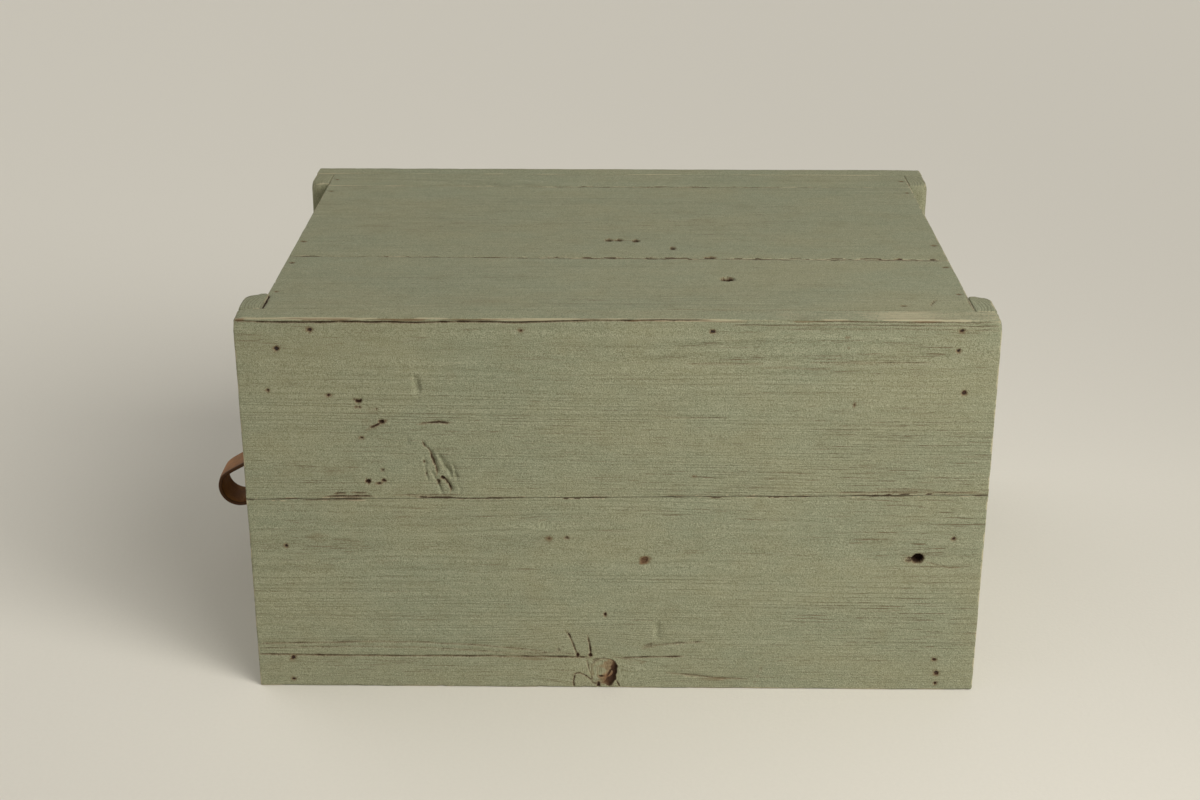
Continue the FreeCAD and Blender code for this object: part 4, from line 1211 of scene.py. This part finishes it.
MAKERS = {
    "paint": lambda look: timber_material("worn_paint", look, True),
    "bare": lambda look: timber_material("bare_softwood", look, False),
    "iron": iron_material,
    "brass": brass_material,
    "leather": leather_material,
}
made_finishes = {}


def finish_for(name):
    """The shared materials, each made when it is first asked for."""
    if name not in made_finishes:
        made_finishes[name] = MAKERS[name](bpy.context.scene.drawer_box_look)
    return made_finishes[name]


def repaint(node, finish):
    """Give a CAD node that stays in view a procedural material."""
    thing = frame["nodes"][node]
    thing.data.materials.clear()
    thing.data.materials.append(finish_for(finish))


# --- operators: one for each group of pieces ------------------------------------------------------------------------
class DRESS_OT_long_sides(bpy.types.Operator):
    """Make the four planks of the two long sides"""

    bl_idname = "drawer_box.long_sides"
    bl_label = "Long side planks"

    def execute(self, context):
        nail_bands = ((-184.0, -171.0, 0.7), (173.0, 186.0, 0.7))
        Timber(
            "right_side_upper_plank", Y, (X, 1), 11, step=(1.5, 0.9), radius=1.2, tapered=True, plain=((X, 0),),
            fine={
                Y: nail_bands + ((-140.0, -122.0, 0.6), (-107.0, -84.0, 0.45)),
                Z: ((216.0, 220.0, 0.3), (208.0, 214.0, 0.6), (118.0, 146.0, 0.62)),
            },
            age=age_right_upper, pith=(34.0, 30.0), quiet=((Z, 0), (X, 0)),
            rounder=(((Y, 0), (Z, 1)), ((Y, 1), (Z, 1))),
        ).finish(*PAINTED)
        Timber(
            "right_side_lower_plank", Y, (X, 1), 12, step=(1.5, 1.0), radius=1.3, tapered=True, plain=((X, 0),),
            fine={
                Y: nail_bands + ((-25.0, 3.0, 0.42), (158.0, 168.0, 0.5)),
                Z: ((0.0, 21.5, 0.42), (22.0, 36.0, 0.7), (79.0, 85.0, 0.5)),
            },
            age=age_right_lower, pith=(28.0, 34.0), quiet=((Z, 1),),
        ).finish(*PAINTED)
        age = random_age((("left_side_nails", X, -1),), knots=2, holes=6, cracks=3)
        for place, seed, joint, pith in (("upper", 13, 0, (20.0, 40.0)), ("lower", 14, 1, (-26.0, 32.0))):
            Timber(
                f"left_side_{place}_plank", Y, (X, 0), seed, step=(1.7, 1.1), radius=1.2, tapered=True,
                plain=((X, 1),), fine={Y: nail_bands}, age=age, pith=pith, quiet=((Z, joint),),
            ).finish(*PAINTED)
        return {"FINISHED"}


class DRESS_OT_top(bpy.types.Operator):
    """Make the three planks of the top"""

    bl_idname = "drawer_box.top"
    bl_label = "Top planks"

    def execute(self, context):
        for hand, seed, age, pith, quiet in (
            ("right", 21, age_right_top, (74.0, 66.0), ((X, 1),)),
            ("middle", 22, age_middle_top, (-110.0, 78.0), ()),
            ("left", 23, age_left_top, (9.0, 30.0), ()),
        ):
            Timber(
                f"{hand}_top_plank", Y, (Z, 1), seed, step=(1.2, 1.05), radius=0.8, tapered=True, plain=((Z, 0),),
                age=age, pith=pith, quiet=quiet,
            ).finish(*PAINTED)
        return {"FINISHED"}


class DRESS_OT_back_and_bottom(bpy.types.Operator):
    """Make the two planks of the back and the three of the bottom"""

    bl_idname = "drawer_box.back_and_bottom"
    bl_label = "Back and bottom planks"

    def execute(self, context):
        age = random_age(knots=2, holes=4, cracks=2)
        for place, seed, pith in (("lower", 31, (18.0, 30.0)), ("upper", 32, (-22.0, 42.0))):
            Timber(
                f"back_{place}_plank", X, (Y, 1), seed, step=(1.6, 1.05), radius=0.8, plain=((Y, 0),), age=age,
                pith=pith,
            ).finish(*PAINTED)
        age = random_age((("bottom_nails", Z, -1),), knots=1, holes=3, cracks=2)
        for place, seed, pith in (("front", 33, 14.0), ("middle", 34, 28.0), ("back", 35, -28.0)):
            Timber(
                f"{place}_bottom_plank", X, (Z, 0), seed, step=(2.0, 1.5), radius=0.8, worn=0.7, plain=((Z, 1),),
                age=age, pith=(pith, 40.0),
            ).finish(*UNDERSIDE)
        return {"FINISHED"}


class DRESS_OT_frame(bpy.types.Operator):
    """Make the corner strips, the front's stiles and its top rail"""

    bl_idname = "drawer_box.frame"
    bl_label = "Corner strips and front frame"

    def execute(self, context):
        seeds = itertools.count(41)
        for place, side in (("front", 0), ("back", 1)):
            age = random_age((("strip_nails", Y, 1 if side else -1),), knots=0, holes=2, cracks=1)
            for hand, inward in (("right", 0), ("left", 1)):
                Timber(
                    f"{place}_corner_strip_{hand}", Z, (Y, side), next(seeds), step=(1.5, 0.9), radius=1.9, age=age,
                    pith=(6.0, 28.0), quiet=((Y, 1 - side),), rounder=(((X, inward), (Y, side)),), extra_round=2.4,
                ).finish(*PAINTED)
        for hand in ("right", "left"):
            Timber(
                f"front_stile_{hand}", Z, (Y, 0), next(seeds), step=(2.0, 1.4), radius=0.7, plain=((Y, 1),),
                pith=(4.0, 26.0),
            ).finish(*PAINTED)
        Timber(
            "front_top_rail", X, (Y, 0), next(seeds), step=(1.5, 0.9), radius=0.9, plain=((Y, 1),),
            age=random_age(knots=0, holes=3, cracks=1), pith=(5.0, 30.0),
        ).finish(*PAINTED)
        return {"FINISHED"}


class DRESS_OT_runners(bpy.types.Operator):
    """Make the bare timbers inside the case: guides, kickers, top cleat and drawer stops"""

    bl_idname = "drawer_box.runners"
    bl_label = "Inner timbers"

    def execute(self, context):
        seeds = itertools.count(51)
        hidden = {"worn": 0.3, "pith": (5.0, 25.0)}
        for hand, inward in (("right", 0), ("left", 1)):
            for name, grain, face in (
                ("drawer_guide", Y, (X, inward)), ("kicker", Y, (Z, 0)), ("drawer_stop", Z, (Y, 0)),
            ):
                piece = Timber(f"{name}_{hand}", grain, face, next(seeds), step=(4.0, 2.0), radius=0.5, **hidden)
                piece.finish(*INNER)
        Timber("top_cleat", X, (Z, 0), next(seeds), step=(3.0, 2.0), radius=0.6, **hidden).finish(*INNER)
        return {"FINISHED"}


class DRESS_OT_drawer(bpy.types.Operator):
    """Make the drawer's front, sides, back and bottom"""

    bl_idname = "drawer_box.drawer"
    bl_label = "Drawer"

    def execute(self, context):
        def age_front(timber):
            random_age((("drawer_nails", Y, -1),), knots=1, holes=4, cracks=2)(timber)
            timber.marks.patch("wear", (0.0, 60.0), (30.0, 26.0), 0.45)
            timber.marks.patch("stain", (0.0, 66.0), (34.0, 30.0), 0.2)

        Timber(
            "drawer_front", X, (Y, 0), 61, step=(1.6, 1.15), radius=1.2, age=age_front, pith=(-30.0, 38.0),
        ).finish(*DRAWER_FACE)
        for name, grain, face, seed, step, radius, holes, pith in (
            ("side_right", Y, (X, 1), 63, (2.6, 1.8), 0.8, 2, (20.0, 34.0)),
            ("side_left", Y, (X, 0), 62, (2.6, 1.8), 0.8, 2, (20.0, 34.0)),
            ("back", X, (Y, 0), 64, (2.4, 1.8), 0.8, 2, (-18.0, 30.0)),
            ("bottom", Y, (Z, 1), 65, (2.8, 2.0), 0.5, 1, (30.0, 60.0)),
        ):
            Timber(
                "drawer_" + name, grain, face, seed, step=step, radius=radius, worn=0.4,
                age=random_age(knots=1, holes=holes, cracks=1), pith=pith,
            ).finish(*DRAWER_BOARD)
        return {"FINISHED"}


class DRESS_OT_fixings(bpy.types.Operator):
    """Give the nails, screw, washers and nut their iron and brass"""

    bl_idname = "drawer_box.fixings"
    bl_label = "Nails and screw"

    def execute(self, context):
        for node in frame["nodes"]:
            if node.endswith("nails"):
                repaint(node, "iron")
        for node in ("pull_screw", "pull_washer", "inner_washer", "pull_nut"):
            repaint(node, "brass")
        return {"FINISHED"}


STRAP_WIDTH = 24.0           # mm
STRAP_THICKNESS = 3.0        # mm
STRAP_STEP = 0.8             # between two rings of the strap's mesh, mm
NOSE_RADIUS = 11.5           # middle of the leather round the loop's nose, mm
PULL_LENGTH = 57.5           # from the bend to the middle of the nose, mm
PULL_SLOPE = math.radians(41.0)      # how far the loop hangs below level


def strap_line(root_low, root_high, bend):
    """Middle line of the folded strap in the Y-Z plane, as points in mm at even steps. It runs down under the washer,
    out along the upper side of the drop, round the nose as an arc and back, then up again under itself: a smooth
    curve through the clamped ends, the bend and the tangents of the nose circle."""
    along = np.array([-math.cos(PULL_SLOPE), -math.sin(PULL_SLOPE)])
    square = np.array([-math.sin(PULL_SLOPE), math.cos(PULL_SLOPE)])
    half = STRAP_THICKNESS / 2
    bend = np.array(bend)
    nose = bend + along * PULL_LENGTH
    turn = np.radians(np.linspace(100.0, -100.0, 41))
    arc = nose + NOSE_RADIUS * (np.outer(np.cos(turn), along) + np.outer(np.sin(turn), square))
    face = bend[0] + STRAP_THICKNESS
    middle = (root_high + root_low) / 2
    outer = np.array([
        [face - 3 * half, root_high],
        [face - 3 * half, middle],
        [face - 3 * half - 0.1, root_low],
        bend + along * 5.0 + square * (half + 1.0),
        bend + along * 20.0 + square * 3.6,
    ])
    inner = np.array([
        [face - half, root_high],
        [face - half, middle],
        [face - half, root_low],
        bend + along * 4.5 - square * (half + 0.6),
        bend + along * 20.0 - square * 3.4,
    ])
    return smooth_path(np.concatenate([outer, arc[4:-4:4], inner[::-1]]), STRAP_STEP)


def lengths_along(path):
    """Length of a path up to each of its points."""
    return np.concatenate([[0.0], np.cumsum(np.linalg.norm(np.diff(path, axis=0), axis=1))])


def smooth_path(keys, step):
    """A centripetal Catmull-Rom curve through the keys, then cut into even steps by its length."""
    padded = np.concatenate([[2 * keys[0] - keys[1]], keys, [2 * keys[-1] - keys[-2]]])
    t = np.linspace(0.0, 1.0, 24, endpoint=False)[None, :, None]
    p0, p1, p2, p3 = (padded[i:len(padded) - 3 + i][:, None, :] for i in range(4))
    d1 = np.sqrt(np.linalg.norm(p1 - p0, axis=2, keepdims=True))
    d2 = np.sqrt(np.linalg.norm(p2 - p1, axis=2, keepdims=True))
    d3 = np.sqrt(np.linalg.norm(p3 - p2, axis=2, keepdims=True))
    m1 = d2 * ((p1 - p0) / d1 - (p2 - p0) / (d1 + d2) + (p2 - p1) / d2)
    m2 = d2 * ((p2 - p1) / d2 - (p3 - p1) / (d2 + d3) + (p3 - p2) / d3)
    curve = (2 * t**3 - 3 * t**2 + 1) * p1 + (t**3 - 2 * t**2 + t) * m1
    curve = curve + (3 * t**2 - 2 * t**3) * p2 + (t**3 - t**2) * m2
    curve = np.concatenate([curve.reshape(-1, 2), keys[-1:]])
    run = lengths_along(curve)
    even = np.linspace(0.0, run[-1], int(run[-1] / step) + 1)
    return np.stack([np.interp(even, run, curve[:, 0]), np.interp(even, run, curve[:, 1])], 1)


class DRESS_OT_pull(bpy.types.Operator):
    """Make the folded leather strap that pulls the drawer"""

    bl_idname = "drawer_box.pull"
    bl_label = "Leather pull"

    def execute(self, context):
        root_low, root_high = (np.array(corner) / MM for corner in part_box("pull_root"))
        joint = next(j for j in frame["joints"] if j["name"] == "pull_flex")
        bend = (joint["pos_m"][1] / MM, joint["pos_m"][2] / MM)
        strap = self.strap_mesh(strap_line(root_low[2], root_high[2], bend))
        strap.data.materials.append(finish_for("leather"))
        slope = (-math.cos(PULL_SLOPE), -math.sin(PULL_SLOPE))
        start = (0.0, bend[0] * MM, (bend[1] + 3.6) * MM)
        end = (0.0, (bend[0] + slope[0] * 7.0) * MM, (bend[1] + slope[1] * 7.0) * MM)
        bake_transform(strap)
        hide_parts("pull_root", "pull_loop")
        return {"FINISHED"}

    def strap_mesh(self, line):
        """Carry the cross-section along the strap's middle line: a flat oblong with rounded, slightly swollen edges,
        a superellipse of power 5, narrower and thinner at the strap's two ends."""
        tangent = np.gradient(line, axis=0)
        tangent /= np.linalg.norm(tangent, axis=1)[:, None]
        normal = np.stack([tangent[:, 1], -tangent[:, 0]], 1)
        run = lengths_along(line)
        turn = np.linspace(0.0, 2 * math.pi, 72, endpoint=False)
        c, s = np.cos(turn), np.sin(turn)
        across = np.sign(c) * np.abs(c) ** 0.4 * STRAP_WIDTH / 2
        thick = np.sign(s) * np.abs(s) ** 0.4 * STRAP_THICKNESS / 2
        ends = np.minimum(run, run[-1] - run)
        corner = np.sqrt(np.clip(1.0 - np.clip(1.0 - ends / 6.0, 0, 1) ** 2, 0.0, 1.0))
        narrow = 1.0 - (1.0 - corner) * 0.5
        thin = np.clip(ends / 0.8, 0.05, 1.0) ** 0.5
        wobble = 0.12 * np.sin(run / 9.0) + 0.08 * np.sin(run / 3.7)
        x = across[None, :] * narrow[:, None] + wobble[:, None]
        offset = thick[None, :] * thin[:, None] * 0.97
        y, z = (line[:, None, axis] + normal[:, None, axis] * offset for axis in (0, 1))
        rows, cols = x.shape
        index = np.arange(rows * cols).reshape(rows, cols)
        ahead = np.roll(index, -1, axis=1)
        quads = np.stack([index[:-1], ahead[:-1], ahead[1:], index[1:]], -1).reshape(-1, 4)
        loops = np.concatenate([quads.ravel(), index[0][::-1], index[-1]])
        sizes = np.concatenate([np.full(len(quads), 4), [cols, cols]])
        strap = make_mesh("leather_pull_strap", np.stack([x, y, z], -1).reshape(-1, 3), loops, sizes)
        recalculate_outward(strap)
        near_edge = rise(np.abs(across), STRAP_WIDTH / 2 - 1.6, STRAP_WIDTH / 2 - 0.3)
        near_edge = np.maximum(near_edge[None, :], fall(ends, 0.4, 1.6)[:, None])
        values = np.stack([np.broadcast_to(run[:, None], (rows, cols)), x, near_edge], -1)
        set_attribute(strap, "strap", "FLOAT_VECTOR", values.reshape(-1, 3))
        return strap


def recalculate_outward(thing):
    """Turn a closed mesh so that its faces point outwards and its volume, the sum of p0.(p1 x p2) / 6, is above 0."""
    mesh = thing.data
    mesh.calc_loop_triangles()
    corners = np.empty(len(mesh.loop_triangles) * 3, np.int32)
    mesh.loop_triangles.foreach_get("vertices", corners)
    places = np.empty(len(mesh.vertices) * 3, np.float32)
    mesh.vertices.foreach_get("co", places)
    p = places.reshape(-1, 3)[corners.reshape(-1, 3)].astype(float)
    if np.einsum("ij,ij->", p[:, 0], np.cross(p[:, 1], p[:, 2])) < 0:
        mesh.flip_normals()


LIGHT_COLOUR = (1.0, 0.98, 0.93)
SKY_COLOUR = (1.0, 0.98, 0.94, 1.0)
BACKDROP_STRENGTH = 0.84
FLOOR_REACH = 60.0           # from the middle of the floor to its edges, m
SENSOR_WIDTH = 36.0          # mm
BOX_FOOT = (0.0, 0.0, 0.0)
KEY_PLACE, KEY_SPREAD = (1.15, 1.25, 1.1), math.radians(40.0)
FILL_PLACE, FILL_SPREAD = (-1.1, -1.6, 0.7), math.radians(60.0)
WINDOW_PLACE, WINDOW_AIM = (0.62, 0.62, 0.52), (0.15, 0.16, 0.17)
WINDOW_SIZE, WINDOW_SPREAD = 0.5, math.radians(75.0)


def put_in_scene(name, data, place, heading):
    """Add a camera or a light at a place, looking along a heading."""
    thing = bpy.data.objects.new(name, data)
    bpy.context.scene.collection.objects.link(thing)
    thing.location = place
    thing.rotation_mode = "QUATERNION"
    thing.rotation_quaternion = heading.to_track_quat("-Z", "Y")
    return thing


def add_light(name, kind, energy, place, aim=BOX_FOOT, **settings):
    """Hang a warm light at a place, aimed at a point. settings are the lamp's own."""
    data = bpy.data.lights.new(name, kind)
    data.energy = energy
    data.color = LIGHT_COLOUR
    for key, value in settings.items():
        setattr(data, key, value)
    put_in_scene(name, data, place, Vector(aim) - Vector(place))


class DRESS_OT_stage(bpy.types.Operator):
    """Make the camera, the floor and the soft light"""

    bl_idname = "drawer_box.stage"
    bl_label = "Camera, floor and light"

    def execute(self, context):
        stage = context.scene.drawer_box_stage
        self.add_camera(context.scene, stage)
        self.add_floor(context.scene, stage)
        add_light("key_light", "SUN", stage.key_strength, KEY_PLACE, angle=KEY_SPREAD)
        add_light("fill_light", "SUN", stage.fill_strength, FILL_PLACE, angle=FILL_SPREAD)
        add_light(
            "window_light", "AREA", stage.window_power, WINDOW_PLACE, WINDOW_AIM, shape="SQUARE", size=WINDOW_SIZE,
            spread=WINDOW_SPREAD,
        )
        self.add_surroundings(context.scene, stage)
        context.scene.view_settings.view_transform = "Standard"
        return {"FINISHED"}

    def add_camera(self, scene, stage):
        """A level camera that looks at the right side from in front of it, pitched down and turned a little."""
        data = bpy.data.cameras.new("stage_camera")
        data.sensor_width = SENSOR_WIDTH
        data.lens = stage.lens
        data.clip_end = 200.0
        pitch, turn = stage.camera_pitch, stage.camera_turn
        forward = Vector((-math.cos(turn) * math.cos(pitch), math.sin(turn) * math.cos(pitch), -math.sin(pitch)))
        scene.camera = put_in_scene("stage_camera", data, stage.camera_place, forward)

    def add_floor(self, scene, stage):
        """A wide floor of fine pale cloth."""
        mesh = bpy.data.meshes.new("stage_floor")
        corners = [(a * FLOOR_REACH, b * FLOOR_REACH, 0.0) for a, b in ((-1, -1), (1, -1), (1, 1), (-1, 1))]
        mesh.from_pydata(corners, [], [(0, 1, 2, 3)])
        floor = bpy.data.objects.new("stage_floor", mesh)
        scene.collection.objects.link(floor)
        nodes = Nodes("stage_floor")
        weave = nodes.noise(nodes.place(), 420.0, 3.0, 0.6)
        colour = nodes.mix(weave * 0.25, stage.floor_colour, [c * 0.82 for c in stage.floor_colour])
        mesh.materials.append(nodes.surface(colour, 0.95, weave, 0.0002, 0.5))

    def add_surroundings(self, scene, stage):
        """Even light from all round, behind which eye, gloss and glass see a backdrop of the floor's colour."""
        scene.world = bpy.data.worlds.new("stage_world")
        sky = Nodes("stage_world", scene.world)
        ambient = sky.add("ShaderNodeBackground", None, {"Color": SKY_COLOUR, "Strength": stage.ambient})
        colour = rgba(stage.floor_colour)
        backdrop = sky.add("ShaderNodeBackground", None, {"Color": colour, "Strength": BACKDROP_STRENGTH})
        rays = sky.add("ShaderNodeLightPath")
        camera, gloss, glass = (rays.number(f"Is {kind} Ray") for kind in ("Camera", "Glossy", "Transmission"))
        seen = camera.most(gloss).most(glass)
        both = sky.add("ShaderNodeMixShader", None, {0: seen, 1: ambient.output(0), 2: backdrop.output(0)})
        sky.add("ShaderNodeOutputWorld", None, {"Surface": both.output(0)})


class DRESS_PT_panel(bpy.types.Panel):
    """The sidebar panel that lists the groups and the settings"""

    bl_idname = "DRESS_PT_panel"
    bl_label = "Drawer Box"
    bl_space_type = "VIEW_3D"
    bl_region_type = "UI"
    bl_category = "Drawer Box"

    def draw(self, context):
        """List the operators, then every setting."""
        column = self.layout.column()
        for operator in OPERATORS:
            column.operator(operator.bl_idname)
        for settings in (context.scene.drawer_box_look, context.scene.drawer_box_stage):
            for key in settings.bl_rna.properties.keys():
                if key not in ("rna_type", "name"):
                    column.prop(settings, key)


OPERATORS = (
    DRESS_OT_stage,
    DRESS_OT_long_sides,
    DRESS_OT_top,
    DRESS_OT_back_and_bottom,
    DRESS_OT_frame,
    DRESS_OT_runners,
    DRESS_OT_drawer,
    DRESS_OT_fixings,
    DRESS_OT_pull,
)
CLASSES = (DrawerBoxLook, DrawerBoxStage) + OPERATORS + (DRESS_PT_panel,)


def register():
    """Register the classes and hang the settings on the scene."""
    for cls in CLASSES:
        bpy.utils.register_class(cls)
    bpy.types.Scene.drawer_box_look = bpy.props.PointerProperty(type=DrawerBoxLook)
    bpy.types.Scene.drawer_box_stage = bpy.props.PointerProperty(type=DrawerBoxStage)


def unregister():
    """Take away what register added."""
    del bpy.types.Scene.drawer_box_stage
    del bpy.types.Scene.drawer_box_look
    for cls in reversed(CLASSES):
        bpy.utils.unregister_class(cls)


def main():
    """Run every operator."""
    register()
    for operator in OPERATORS:
        group, action = operator.bl_idname.split(".")
        getattr(getattr(bpy.ops, group), action)()
    bpy.context.view_layer.update()


if __name__ == "__main__":
    main()
